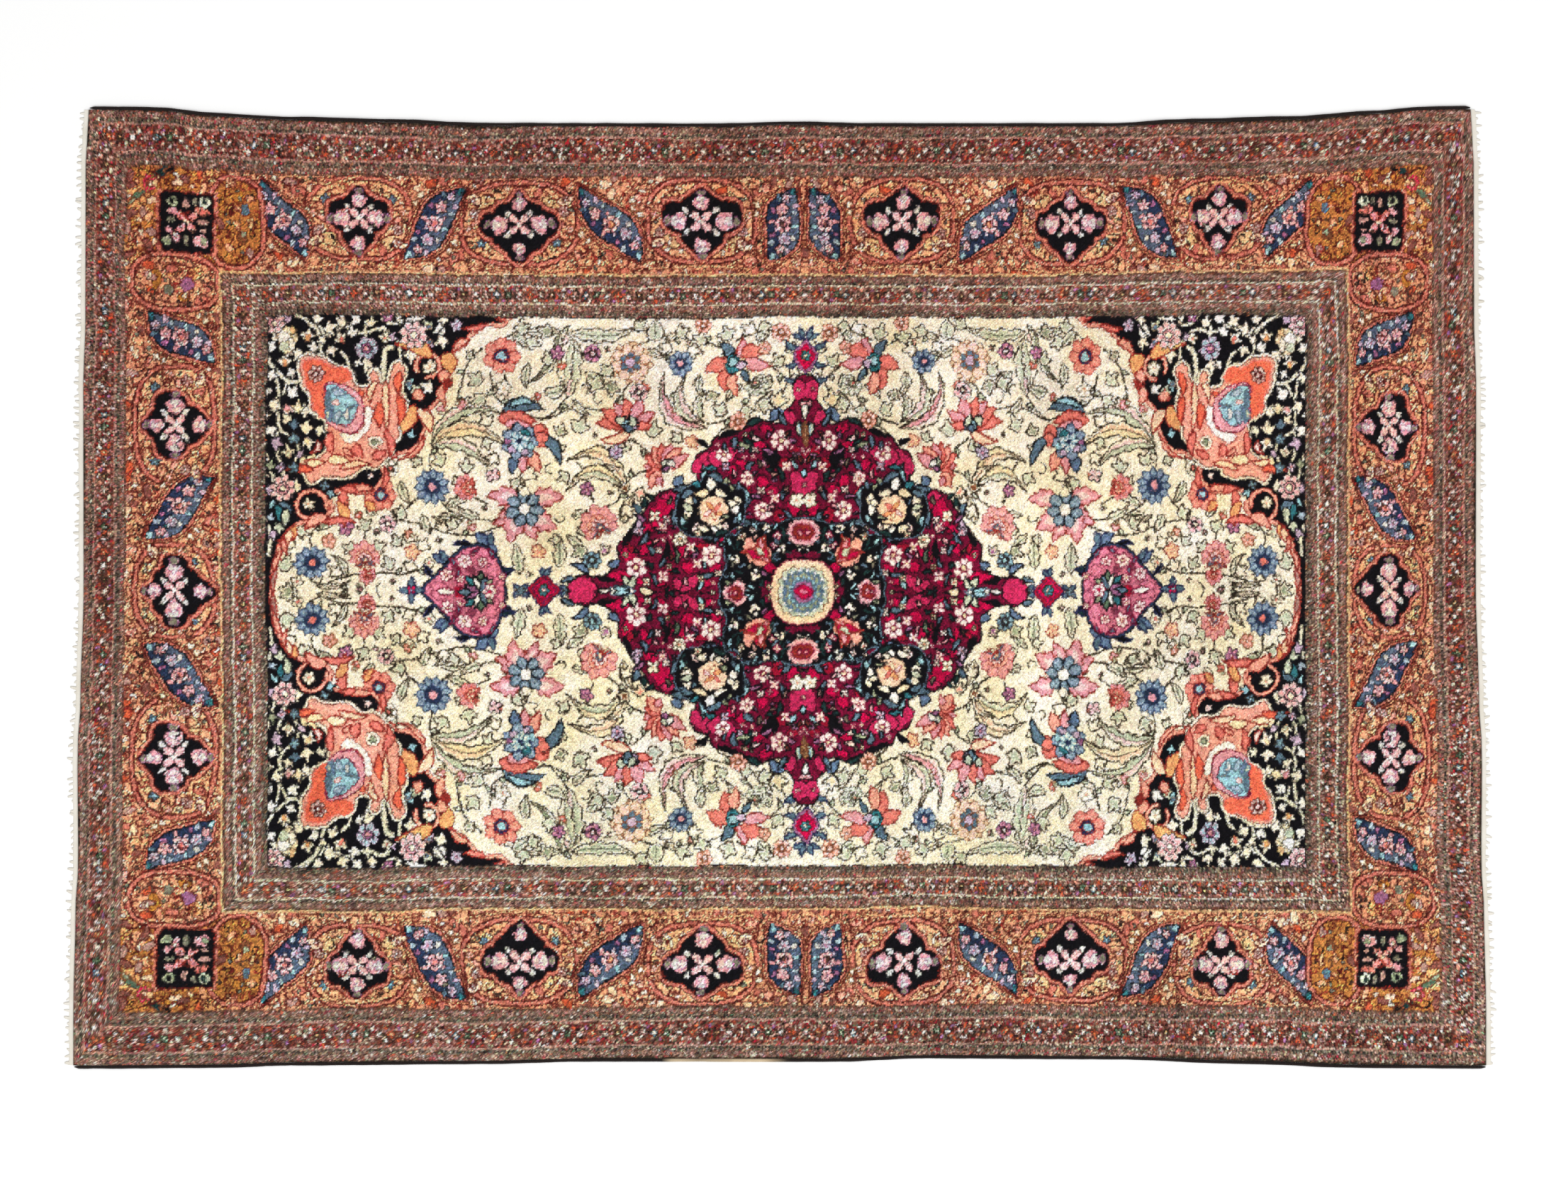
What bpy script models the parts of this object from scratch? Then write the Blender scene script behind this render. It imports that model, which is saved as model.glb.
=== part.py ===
"""A hand-knotted Persian rug lying flat, with its two overcast side cords and its two woven ends.

Metres, +Z up. The origin is on the floor under the middle of the rug. X runs along the warps, so the
worn warp ends are at -X and +X, and the overcast side cords are at +Y (far) and -Y (near).
"""

import math
import random

import bpy
import numpy as np

# Driving dimensions
PILE_HEIGHT = 0.006            # knotted pile and its foundation, together
EDGE_ROUND = 0.0012            # rounding along the rim of the pile
FIT_GAP = 0.0003               # gap kept between neighbouring pieces
CORD_WIDTH = 0.0048            # overcast side cord, seen from above
CORD_HEIGHT = 0.0052
CORD_ROUND = 0.0017            # rounding along a cord's two edges
BAND_WIDTH = 0.0070            # plain woven band at each end
BAND_HEIGHT = 0.0022
WARP_ENDS = 148                # locks of worn warp at each end
LOCK_WIDTH = 0.0040            # mean width at a lock's foot
LOCK_WIDTH_SPREAD = 0.0006     # how much that varies, either way
LOCK_TIP_SHARE = 0.72          # width of a lock's tip, as a share of its foot
LOCK_LENGTH = 0.0062           # mean reach past the band
LOCK_REACH_SPREAD = 0.0030     # how much that varies, either way
LOCK_LEAN = 0.0022             # how far a lock's tip leans along the end
WEAR_SEEDS = {-1: 11, 1: 29}   # which chance wear each end gets
OUTLINE_STEP = 0.040           # spacing of outline points along an edge
ROUND_STEPS = 1                # steps in the rim's rounding

# Far side: place along the rug, distance of the pile's edge from the middle line
FAR_SIDE = (
    (-1.010, 0.6950),
    (-0.910, 0.6940),
    (-0.815, 0.6850),
    (-0.720, 0.6800),
    (-0.560, 0.6765),
    (-0.440, 0.6710),
    (-0.090, 0.6700),
    (0.020, 0.6730),
    (0.130, 0.6705),
    (0.480, 0.6705),
    (0.600, 0.6770),
    (0.760, 0.6810),
    (0.850, 0.6880),
    (0.950, 0.6950),
    (1.010, 0.6955),
)
# Near side, the same two columns
NEAR_SIDE = (
    (-1.010, 0.6940),
    (-0.815, 0.6930),
    (-0.720, 0.6895),
    (-0.450, 0.6875),
    (-0.260, 0.6835),
    (0.080, 0.6840),
    (0.210, 0.6790),
    (0.480, 0.6805),
    (0.670, 0.6870),
    (0.850, 0.6930),
    (1.010, 0.6940),
)
# Both ends, which mirror each other: place across the rug, half-length of the pile there
END_EDGE = (
    (-0.700, 1.0265),
    (-0.620, 1.0265),
    (-0.470, 1.0235),
    (-0.400, 1.0195),
    (-0.240, 1.0205),
    (-0.160, 1.0160),
    (0.000, 1.0115),
    (0.300, 1.0120),
    (0.380, 1.0090),
    (0.610, 1.0085),
    (0.700, 1.0040),
)
HALF_LENGTH = 1.010            # about where the ends are, to start looking for a corner
CORNER_ROUNDS = 4              # passes that settle a corner's place


def smooth(table, place):
    """Cosine-eased value of a two-column table at a place."""
    places = [row[0] for row in table]
    values = [row[1] for row in table]
    i = min(max(int(np.searchsorted(places, place)) - 1, 0), len(places) - 2)
    t = min(max((place - places[i]) / (places[i + 1] - places[i]), 0.0), 1.0)
    ease = 0.5 - 0.5 * math.cos(math.pi * t)
    return values[i] + (values[i + 1] - values[i]) * ease


def corner(side, side_sign, end_sign):
    """The corner where a side meets an end: its distance from the middle line, and its half-length."""
    reach = HALF_LENGTH
    for _ in range(CORNER_ROUNDS):
        across = smooth(side, end_sign * reach)
        reach = smooth(END_EDGE, side_sign * across)
    return across, reach


def spaced(start, end):
    """Places from start to end, about OUTLINE_STEP apart, both included."""
    steps = max(2, round(abs(end - start) / OUTLINE_STEP))
    return [start + (end - start) * k / steps for k in range(steps + 1)]


def side_line(side, sign, push):
    """Points along a long side from -X to +X, moved outwards by push."""
    _, left = corner(side, sign, -1)
    _, right = corner(side, sign, 1)
    return [(x, sign * (smooth(side, x) + push)) for x in spaced(-left, right)]


def end_line(sign, push):
    """Points along an end from -Y to +Y, moved outwards by push."""
    near, _ = corner(NEAR_SIDE, -1, sign)
    far, _ = corner(FAR_SIDE, 1, sign)
    return [(sign * (smooth(END_EDGE, y) + push), y) for y in spaced(-near, far)]


def material(name, color, roughness):
    made = bpy.data.materials.new(name)
    made.use_nodes = True
    shader = made.node_tree.nodes["Principled BSDF"]
    shader.inputs["Base Color"].default_value = (*color, 1.0)
    shader.inputs["Roughness"].default_value = roughness
    shader.inputs["Metallic"].default_value = 0.0
    return made


def flat_piece(name, outline, height, rounding, finish, collection):
    """A flat outline as a filled 2D curve, from the floor up to height, with a rounded rim."""
    curve = bpy.data.curves.new(name, "CURVE")
    curve.dimensions = "2D"
    curve.fill_mode = "BOTH"
    curve.extrude = height / 2 - rounding
    curve.bevel_depth = rounding
    curve.bevel_resolution = ROUND_STEPS
    curve.offset = -rounding
    spline = curve.splines.new("POLY")
    spline.points.add(len(outline) - 1)
    for point, (x, y) in zip(spline.points, outline):
        point.co = (x, y, 0.0, 1.0)
    spline.use_cyclic_u = True
    piece = bpy.data.objects.new(name, curve)
    piece.location = (0.0, 0.0, height / 2)
    piece.data.materials.append(finish)
    collection.objects.link(piece)
    return piece


def pile(finish, collection):
    """The knotted cloth: one slab with the rug's uneven outline."""
    near = side_line(NEAR_SIDE, -1, 0.0)
    right = end_line(1, 0.0)
    far = side_line(FAR_SIDE, 1, 0.0)
    left = end_line(-1, 0.0)
    outline = near[:-1] + right[:-1] + far[:0:-1] + left[:0:-1]
    return flat_piece("pile", outline, PILE_HEIGHT, EDGE_ROUND, finish, collection)


def side_cord(name, side, sign, finish, collection):
    """One overcast cord along a long side, a flattened round."""
    inner = side_line(side, sign, FIT_GAP)
    outer = side_line(side, sign, FIT_GAP + CORD_WIDTH)
    return flat_piece(name, inner + outer[::-1], CORD_HEIGHT, CORD_ROUND, finish, collection)


def warp_end(name, sign, finish, collection):
    """The plain woven band at one end, with the worn warp ends standing out of it as flat locks."""
    worn = random.Random(WEAR_SEEDS[sign])
    inner = end_line(sign, FIT_GAP)
    low, high = inner[0][1], inner[-1][1]
    pitch = (high - low) / WARP_ENDS
    comb = [(sign * (smooth(END_EDGE, low) + FIT_GAP + BAND_WIDTH), low)]
    for k in range(WARP_ENDS):
        middle = low + (k + 0.5) * pitch
        band_edge = smooth(END_EDGE, middle) + FIT_GAP + BAND_WIDTH
        reach = LOCK_LENGTH + worn.uniform(-LOCK_REACH_SPREAD, LOCK_REACH_SPREAD)
        lean = worn.uniform(-LOCK_LEAN, LOCK_LEAN)
        if k in (0, WARP_ENDS - 1):
            lean = 0.0
        foot = (LOCK_WIDTH + worn.uniform(-LOCK_WIDTH_SPREAD, LOCK_WIDTH_SPREAD)) / 2
        tip = foot * LOCK_TIP_SHARE
        comb += [
            (sign * band_edge, middle - foot),
            (sign * (band_edge + reach), middle + lean - tip),
            (sign * (band_edge + reach), middle + lean + tip),
            (sign * band_edge, middle + foot),
        ]
    comb.append((sign * (smooth(END_EDGE, high) + FIT_GAP + BAND_WIDTH), high))
    return flat_piece(name, inner + comb[::-1], BAND_HEIGHT, 0.0, finish, collection)


def main():
    for old in list(bpy.data.objects):
        bpy.data.objects.remove(old)
    rug = bpy.data.collections.new("persian_rug")
    bpy.context.scene.collection.children.link(rug)
    wool = material("knotted_wool", (0.42, 0.20, 0.14), 0.92)
    dark_wool = material("overcast_wool", (0.035, 0.02, 0.016), 0.9)
    cotton = material("cotton_warp", (0.80, 0.76, 0.66), 0.88)
    pile(wool, rug)
    side_cord("side_cord_far", FAR_SIDE, 1, dark_wool, rug)
    side_cord("side_cord_near", NEAR_SIDE, -1, dark_wool, rug)
    warp_end("warp_end_left", -1, cotton, rug)
    warp_end("warp_end_right", 1, cotton, rug)


main()
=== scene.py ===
import bpy
import numpy as np
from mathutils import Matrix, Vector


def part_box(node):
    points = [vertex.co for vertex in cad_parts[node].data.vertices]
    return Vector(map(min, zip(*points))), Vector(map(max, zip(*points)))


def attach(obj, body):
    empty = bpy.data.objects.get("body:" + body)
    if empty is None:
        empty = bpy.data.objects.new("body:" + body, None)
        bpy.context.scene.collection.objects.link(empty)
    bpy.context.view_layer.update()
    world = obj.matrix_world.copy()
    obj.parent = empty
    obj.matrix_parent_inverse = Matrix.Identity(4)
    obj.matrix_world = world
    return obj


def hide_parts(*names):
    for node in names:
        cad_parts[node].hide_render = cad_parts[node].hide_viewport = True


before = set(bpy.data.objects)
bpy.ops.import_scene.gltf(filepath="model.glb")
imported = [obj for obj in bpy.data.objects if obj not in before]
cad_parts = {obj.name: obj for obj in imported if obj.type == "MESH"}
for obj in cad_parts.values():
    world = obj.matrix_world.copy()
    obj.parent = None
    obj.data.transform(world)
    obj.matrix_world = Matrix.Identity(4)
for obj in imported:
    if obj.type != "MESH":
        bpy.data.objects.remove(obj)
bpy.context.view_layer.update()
print("frame loaded:", sorted(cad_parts))

# the design's rectangles: half length and half width out to each edge, in millimetres from its middle
ruled = {"field": (780, 397), "innerGuard": (849, 462), "border": (984, 600), "outerGuard": (1045, 676)}

# the weaver's chart: one quarter of the design in millimetres from its middle
chartPlan = {
    "squareMm": 0.72,      # how finely the chart is ruled
    "alongMm": 1060.0,     # middle to the end of the pile
    "acrossMm": 692.0,     # middle to the side of the pile
    "inkMm": 2.5,          # outline of one knot
    "softMm": 0.9,         # how softly two wools meet
}

# wools, as plain red, green and blue out of 255
wool = {
    "cream": (241, 223, 191), "milk": (242, 231, 212), "straw": (236, 208, 164), "ink": (48, 40, 32),
    "olive": (50, 42, 32), "sage": (144, 148, 120), "celadon": (190, 193, 164), "moss": (88, 104, 84),
    "coral": (222, 122, 108), "salmon": (234, 158, 136), "peach": (238, 196, 160), "rose": (222, 152, 154),
    "blush": (236, 198, 188), "brick": (134, 50, 44), "flame": (232, 108, 82), "orange": (226, 158, 106),
    "crimson": (176, 18, 68), "raspberry": (186, 48, 88), "wine": (110, 22, 52), "madder": (150, 26, 52),
    "slate": (92, 112, 124), "navy": (40, 44, 72), "denim": (98, 116, 138), "teal": (58, 112, 118),
    "mist": (150, 186, 190), "night": (22, 20, 24), "mauve": (150, 98, 128), "lilac": (190, 164, 180),
    "brown": (118, 74, 50), "rust": (190, 88, 60), "terracotta": (220, 150, 116), "ochre": (178, 116, 66),
    "honey": (234, 166, 124), "shell": (194, 114, 97), "pearl": (206, 198, 186), "maroon": (88, 34, 30),
    "sand": (222, 176, 128), "dusky": (86, 96, 112), "umber": (86, 60, 50), "pewter": (124, 118, 100),
    "dusk": (172, 132, 120), "garnet": (110, 54, 48), "bone": (224, 214, 184), "pine": (36, 58, 56),
    "magenta": (212, 122, 140), "cerise": (186, 106, 120), "plum": (122, 58, 74), "haze": (158, 172, 180),
    "taupe": (108, 92, 80), "russet": (132, 82, 72), "indigo": (46, 56, 78), "brass": (176, 116, 58),
}


# a wool by its name, as shares of full brightness
def tone(colour):
    return np.array(wool[colour], np.float32) / 255


# wool laid on a stretch of the chart: cover = inside distance / softness + a half, held between nothing
# and all
def lay(window, inside, rgb, strength=1.0):
    cover = np.clip(inside / chartPlan["softMm"] + 0.5, 0.0, 1.0) * strength
    window += (rgb - window) * cover[..., None]


class Chart:
    # places of the squares' corners, and one wool for all of them
    def __init__(self, plan, ground):
        self.step = plan["squareMm"]
        self.alongMm = np.arange(0.0, plan["alongMm"], self.step, dtype=np.float32)
        self.acrossMm = np.arange(0.0, plan["acrossMm"], self.step, dtype=np.float32)
        self.knots = np.empty((self.acrossMm.size, self.alongMm.size, 3), np.float32)
        self.knots[:] = tone(ground)

    # the square that holds a place: place over the size of a square, rounded down
    def index(self, along, across):
        return int(np.floor(along / self.step)), int(np.floor(across / self.step))

    # colour at any point of the quarter, blended from the four squares around it
    def read(self, along, across):
        x = np.clip(along / self.step, 0, self.alongMm.size - 1.001)
        y = np.clip(across / self.step, 0, self.acrossMm.size - 1.001)
        x0, y0 = x.astype(int), y.astype(int)
        fx, fy = (x - x0)[..., None], (y - y0)[..., None]
        lower = self.knots[y0, x0] * (1 - fx) + self.knots[y0, x0 + 1] * fx
        upper = self.knots[y0 + 1, x0] * (1 - fx) + self.knots[y0 + 1, x0 + 1] * fx
        return lower * (1 - fy) + upper * fy


chart = Chart(chartPlan, "terracotta")


class Spot:
    # a window on the chart around one point, turned so that forward runs along the motif
    def __init__(self, along, across, reach, turn=0.0):
        low = chart.index(along - reach, across - reach)
        high = chart.index(along + reach, across + reach)
        self.rows = slice(max(low[1], 0), max(high[1] + 2, 0))
        self.columns = slice(max(low[0], 0), max(high[0] + 2, 0))
        x = chart.alongMm[None, self.columns] - along
        y = chart.acrossMm[self.rows, None] - across
        c, s = np.cos(np.radians(turn)), np.sin(np.radians(turn))
        self.forward = x * c + y * s
        self.side = y * c - x * s
        self.radius = np.hypot(self.forward, self.side)
        self.angle = np.arctan2(self.side, self.forward)

    # a wool laid where the inside distance is above nothing
    def dye(self, inside, colour, strength=1.0):
        if self.forward.size:
            lay(chart.knots[self.rows, self.columns], inside, tone(colour), strength)

    # a round patch: inside is its radius less the distance from the middle
    def disc(self, radius, colour):
        self.dye(radius - self.radius, colour)


# a motif drawn once for every row of a table; what all the rows share is given by name
def each(motif, rows, **shared):
    for row in rows:
        motif(*row, **shared)


# smooth step: 3t^2 - 2t^3 of the share t of the way from low to high
def eased(low, high, value):
    t = np.clip((value - low) / (high - low), 0.0, 1.0)
    return t * t * (3 - 2 * t)


# soft noise from -1 to 1: random heights on a lattice, eased from corner to corner
def softNoise(x, y, size, seed, cells=256):
    lattice = np.random.default_rng(seed).uniform(-1, 1, (cells, cells)).astype(np.float32)
    gx, gy = x / size, y / size
    ix, iy = np.floor(gx).astype(int), np.floor(gy).astype(int)
    fx, fy = gx - ix, gy - iy
    fx, fy = fx * fx * (3 - 2 * fx), fy * fy * (3 - 2 * fy)
    x0, x1, y0, y1 = ix % cells, (ix + 1) % cells, iy % cells, (iy + 1) % cells
    lower = lattice[y0, x0] * (1 - fx) + lattice[y0, x1] * fx
    upper = lattice[y1, x0] * (1 - fx) + lattice[y1, x1] * fx
    return lower * (1 - fy) + upper * fy


# Catmull-Rom curve: every stretch mixes its four nearest points by cubics of the share t
def smoothLine(points, closed=False, steps=7):
    p = np.asarray(points, float)
    if closed:
        before, start, end, after = np.roll(p, 1, 0), p, np.roll(p, -1, 0), np.roll(p, -2, 0)
    else:
        padded = np.vstack([p[:1], p, p[-1:]])
        before, start, end, after = padded[:-3], padded[1:-2], padded[2:-1], padded[3:]
    t = (np.arange(steps) / steps)[None, :, None]
    b, s, e, a = (q[:, None, :] for q in (before, start, end, after))
    square, cube = (2 * b - 5 * s + 4 * e - a) * t ** 2, (3 * s - b - 3 * e + a) * t ** 3
    curve = (0.5 * (2 * s + (e - b) * t + square + cube)).reshape(-1, 2)
    return curve if closed else np.vstack([curve, p[-1:]])


# distance to a chain of straight stretches, and whether each point lies inside the closed chain
def chainDistance(x, y, chain, closed):
    nearest = np.full(x.shape, 1e9, np.float32)
    inside = np.zeros(x.shape, bool)
    tiny = 1e-9
    for (x0, y0), (x1, y1) in zip(chain, np.roll(chain, -1, 0) if closed else chain[1:]):
        dx, dy = x1 - x0, y1 - y0
        length = dx * dx + dy * dy
        if length < tiny:
            continue
        t = np.clip(((x - x0) * dx + (y - y0) * dy) / length, 0, 1)
        nearest = np.minimum(nearest, (x - x0 - t * dx) ** 2 + (y - y0 - t * dy) ** 2)
        if closed:
            crosses = (y0 > y) != (y1 > y)
            inside ^= crosses & (x < x0 + (y - y0) * dx / (dy if abs(dy) > tiny else tiny))
    return np.sqrt(nearest), inside


# a spot that holds a whole chain with a margin, then the distance to it and what lies inside it
def around(chain, margin, closed):
    middle = (chain.min(0) + chain.max(0)) / 2
    spot = Spot(*middle, (chain.max(0) - chain.min(0)).max() / 2 + margin)
    return spot, *chainDistance(spot.forward + middle[0], spot.side + middle[1], chain, closed)


# a closed outline laid in bands: each row of the bands is (distance in from the edge, wool)
def panel(points, bands, curved=True):
    chain = smoothLine(points, True) if curved else np.asarray(points, float)
    spot, distance, inside = around(chain, 3, True)
    depth = np.where(inside, distance, -distance)
    for inset, colour in bands:
        spot.dye(depth - inset, colour)


# an open stem of one width
def stem(points, width, colour, curved=True):
    chain = smoothLine(points) if curved else np.asarray(points, float)
    spot, distance, _ = around(chain, width + 2, False)
    spot.dye(width / 2 - distance, colour)


# points of a spiral whose radius runs evenly from one size to the other
def curl(along, across, sizes, angles, count=14):
    t = np.linspace(0, 1, count)
    radius = sizes[0] + (sizes[1] - sizes[0]) * t
    angle = np.radians(angles[0] + (angles[1] - angles[0]) * t)
    return np.stack([along + radius * np.cos(angle), across + radius * np.sin(angle)], 1)


outOfSight = -9.0     # depth where a motif lays nothing
smallFlower = 12      # flowers under this size, in millimetres, are drawn as folded circles
barely = 0.3          # red, green and blue off the ground's, added up, that still count as bare

# dyes of each flower: petal, petal's middle, ring, heart, outline
flowerDyes = {
    "coral": ("coral", "salmon", "navy", "mist", "brick"),
    "blue": ("denim", "haze", "indigo", "rose", "indigo"),
    "blueCoral": ("denim", "haze", "indigo", "coral", "indigo"),
    "peach": ("peach", "blush", "slate", "lilac", "brown"),
    "pink": ("rose", "blush", "slate", "cream", "brick"),
    "mauve": ("mauve", "rose", "wine", "blush", "ink"),
    "brown": ("salmon", "blush", "brown", "blush", "brown"),
    "slate": ("slate", "mist", "indigo", "mist", "ink"),
    "cream": ("cream", "milk", "straw", "coral", "olive"),
    "snow": ("blush", "milk", "wine", "straw", "wine"),
    "wine": ("crimson", "rose", "slate", "mist", "navy"),
    "teal": ("teal", "mist", "rose", "cream", "ink"),
    "apricot": ("peach", "orange", "coral", "straw", "brick"),
    "lilac": ("lilac", "mist", "mauve", "rose", "night"),
    "rosePale": ("blush", "rose", "rose", "cream", "night"),
    "duskBloom": ("dusk", "blush", "maroon", "blush", "maroon"),
    "pinkNight": ("rose", "blush", "mauve", "pearl", "night"),
    "wineBud": ("crimson", "coral", "wine", "peach", "brown"),
    "guardWhite": ("dusk", "pewter", "umber", "milk", "ink"),
    "guardOlive": ("olive", "brass", "umber", "sand", "umber"),
    "guardGreen": ("moss", "sage", "pine", "celadon", "ink"),
    "guardOrange": ("rust", "coral", "garnet", "sand", "umber"),
    "guardBlue": ("slate", "pewter", "ink", "mist", "ink"),
    "guardMauve": ("dusk", "blush", "wine", "blush", "ink"),
}

# dyes of each palmette: outer petals, their middles, second layer, third layer, heart, outline
palmetteDyes = {
    "coral": ("coral", "salmon", "slate", "mist", "navy", "brick"),
    "pink": ("rose", "salmon", "blush", "slate", "peach", "brick"),
    "blue": ("denim", "slate", "coral", "mist", "coral", "navy"),
    "cream": ("cream", "straw", "mist", "straw", "coral", "olive"),
    "crimson": ("crimson", "rose", "slate", "mist", "cream", "navy"),
    "bloom": ("rose", "coral", "peach", "coral", "cream", "brick"),
    "leafy": ("celadon", "milk", "sage", "cream", "coral", "ink"),
}


# one petal folded round a centre: half width = width / 2 * sin(pi * share^belly)^blunt, where the share
# runs along the petal from its start; a fan keeps the petals within an angle of the tip and shortens
# the ones at its sides
def petalDepth(radius, angle, count, start, length, width, belly=1.15, blunt=0.75, fan=None, fade=0.25):
    step = 2 * np.pi / count
    turn = np.round(angle / step) * step
    off = angle - turn
    reach = length * (1 - fade * np.abs(turn) / fan) if fan else length
    forward, side = radius * np.cos(off) - start, radius * np.sin(off)
    share = np.clip(forward / reach, 0.0, 1.0)
    half = width / 2 * np.maximum(np.sin(np.pi * share ** belly), 0.0) ** blunt
    fold = radius * np.sin(np.maximum(step / 2 - np.abs(off), 0.0)) + 0.4
    inside = np.minimum(np.minimum(half - np.abs(side), fold), np.minimum(forward, reach - forward))
    return np.where(np.abs(turn) <= fan, inside, outOfSight) if fan else inside


# outlined petals: outline, fill, and patches of a paler or darker wool where two sines agree
def dyePetals(spot, inside, line, fill, middle=None):
    ink = chartPlan["inkMm"]
    spot.dye(inside + ink * 0.45, line)
    spot.dye(inside - ink * 0.35, fill)
    if middle:
        patches = 2.6 * np.sin(0.85 * spot.forward + 1.0) * np.sin(0.95 * spot.side + 2.0) + 0.8
        spot.dye(np.minimum(inside - ink * 0.9, patches), middle, 0.85)


# one ring of petals round a spot, by its outline, fill and patches
def petalRing(spot, dyes, count, start, length, width, belly=1.3, blunt=0.6, turn=0.0):
    inside = petalDepth(spot.radius, spot.angle + turn, count, start, length, width, belly, blunt)
    dyePetals(spot, inside, *dyes)


# wheel flower: a ring of petals, a ring or an inner row of petals, and a heart; small ones are circles
# folded round the middle
def rosette(along, across, size, petals, dyes, inner=0, turn=0.0, ring=0.5):
    petal, middle, ringDye, heartDye, line = flowerDyes[dyes]
    ink = chartPlan["inkMm"]
    spot = Spot(along, across, size * 1.15 + 3, turn)
    share = 2 * np.pi * size * 0.66 / petals
    if size < smallFlower:
        fold = np.abs((spot.angle + np.pi / petals) % (2 * np.pi / petals) - np.pi / petals)
        away = np.hypot((spot.radius * np.cos(fold) - size * 0.6) * 0.85, spot.radius * np.sin(fold))
        inside = np.minimum(share * 0.5, size * 0.42) - away
        spot.dye(np.maximum(inside, size * 0.5 - spot.radius) + ink * 0.3, line)
        spot.dye(inside - ink * 0.35, petal)
        spot.dye(inside - ink * 1.0, middle, 0.7)
        spot.disc(size * 0.24, ringDye if size > 8 else heartDye)
        spot.disc(size * 0.14, heartDye)
        return
    if inner:
        between = np.pi / petals
        petalRing(spot, (line, petal), petals, size * 0.5, size * 0.6, share * 0.8, 1.15, 0.75, between)
    blunt = 1.0 if "blue" in dyes else 0.6
    petalRing(spot, (line, petal, middle), petals, size * 0.2, size * 0.8, share * 1.1, 1.5, blunt)
    if inner:
        wide = 2 * np.pi * size * ring * 0.7 / inner
        petalRing(spot, (line, ringDye), inner, size * 0.12, size * ring * 0.95, wide)
    else:
        edge = size * ring * (0.84 + 0.16 * np.abs(np.cos(petals * spot.angle / 2)))
        spot.disc(edge + ink * 0.2, line)
        spot.disc(edge - ink * 0.5, ringDye)
    spot.disc(size * 0.22 + ink * 0.5, line)
    spot.disc(size * 0.22 - ink * 0.1, heartDye)


# lotus seen from the side: sepals at the foot, a fan of pointed petals, a shorter fan half a step on,
# and a small cup of a third fan
def palmette(along, across, size, turn, dyes, petals=9):
    outer, middle, second, third, heartDye, line = palmetteDyes[dyes]
    spot = Spot(along, across, size * 1.5 + 3, turn)
    foot = spot.forward + size * 0.45
    radius, angle = np.hypot(foot, spot.side), np.arctan2(spot.side, foot)
    for way in (-1, 1):
        for aim, length, dye in ((2.5, 0.6, "celadon"), (2.1, 0.8, third)):
            a = angle - way * aim
            inside = petalDepth(radius, a, 1, size * 0.05, size * length, size * 0.3, 0.9, 0.8)
            dyePetals(spot, np.where(np.abs(a) < 1.2, inside, outOfSight), line, dye)
    step = 2 * np.pi / (petals * 1.5)
    wide = size * step * 1.2

    # petals whose start and length are shares of the flower's size, within an angle of its tip
    def fan(aim, count, start, length, width, belly, blunt, reach, fade, *dyed):
        inside = petalDepth(radius, aim, count, size * start, size * length, width, belly, blunt, reach, fade)
        dyePetals(spot, inside, line, *dyed)

    fan(angle, petals * 1.5, 0.26, 1.16, wide, 1.3, 0.62, 1.8, 0.34, outer, middle)
    fan(angle + step / 2, petals * 1.5, 0.2, 0.62, wide * 0.8, 1.2, 0.7, 1.7, 0.3, middle)
    fan(angle, 9, 0.16, 0.42, size * 0.3, 1.2, 0.7, 2.0, 0.2, second)
    spot.dye(size * 0.30 - radius, line)
    fan(angle, 7, 0.06, 0.26, size * 0.24, 1.2, 0.7, 2.2, 0.2, third)
    spot.dye(size * 0.1 - radius, heartDye)


# half width = width / 2 * sin(pi * share^belly)^0.8, saw-toothed, about a line that bends as 4t(1-t) and
# sways as sin(2 pi t)
def leaf(along, across, length, width, turn, bend=0.0, teeth=0, fill="celadon", back=None, line="ink",
         rib=True, sway=0.0, rim=None, belly=0.75):
    ink = chartPlan["inkMm"]
    spot = Spot(along, across, length * 1.02 + width, turn)
    t = np.clip(spot.forward / length, 0.0, 1.0)
    side = spot.side - bend * 4 * t * (1 - t) - sway * np.sin(2 * np.pi * t)
    half = width / 2 * np.maximum(np.sin(np.pi * t ** belly), 0.0) ** 0.8
    if teeth:
        notch = (teeth * t) % 1.0
        half = half * (0.74 + 0.38 * np.minimum(notch / 0.75, (1 - notch) / 0.25))
    slope = np.sqrt(1 + ((bend * 4 * (1 - 2 * t) + sway * 2 * np.pi * np.cos(2 * np.pi * t)) / length) ** 2)
    past = np.maximum(-spot.forward, spot.forward - length)
    inside = np.minimum((half - np.abs(side)) / slope, -past)
    spot.dye(inside + 1.0, line)
    if rim:
        spot.dye(inside - ink * 0.6, rim)
    spot.dye(inside - ink * (1.5 if rim else 0.7), fill)
    if back:
        spot.dye(np.minimum(inside - ink * 0.7, side / slope), back)
    if rib and width > 7:
        vein = np.minimum(ink * 0.34 - np.abs(side) / slope, np.minimum(t - 0.06, 0.9 - t) * length)
        spot.dye(vein, line, 0.8)


# plain leaf or petal of one wool in its outline
def blade(along, across, length, width, turn, bend=0, fill="slate", line="night"):
    leaf(along, across, length, width, turn, bend, 0, fill, None, line, False)


# petals and leaves of one flower, each from its own foot: along, across, length, width, pointing, bend,
# wool; the cool ones are outlined darker
def spray(rows):
    for along, across, length, width, aim, bend, dye in rows:
        line = "brick" if dye in ("coral", "rose", "salmon", "peach", "blush", "straw") else "night"
        blade(along, across, length, width * 1.2, aim, bend, dye, line)


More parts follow.
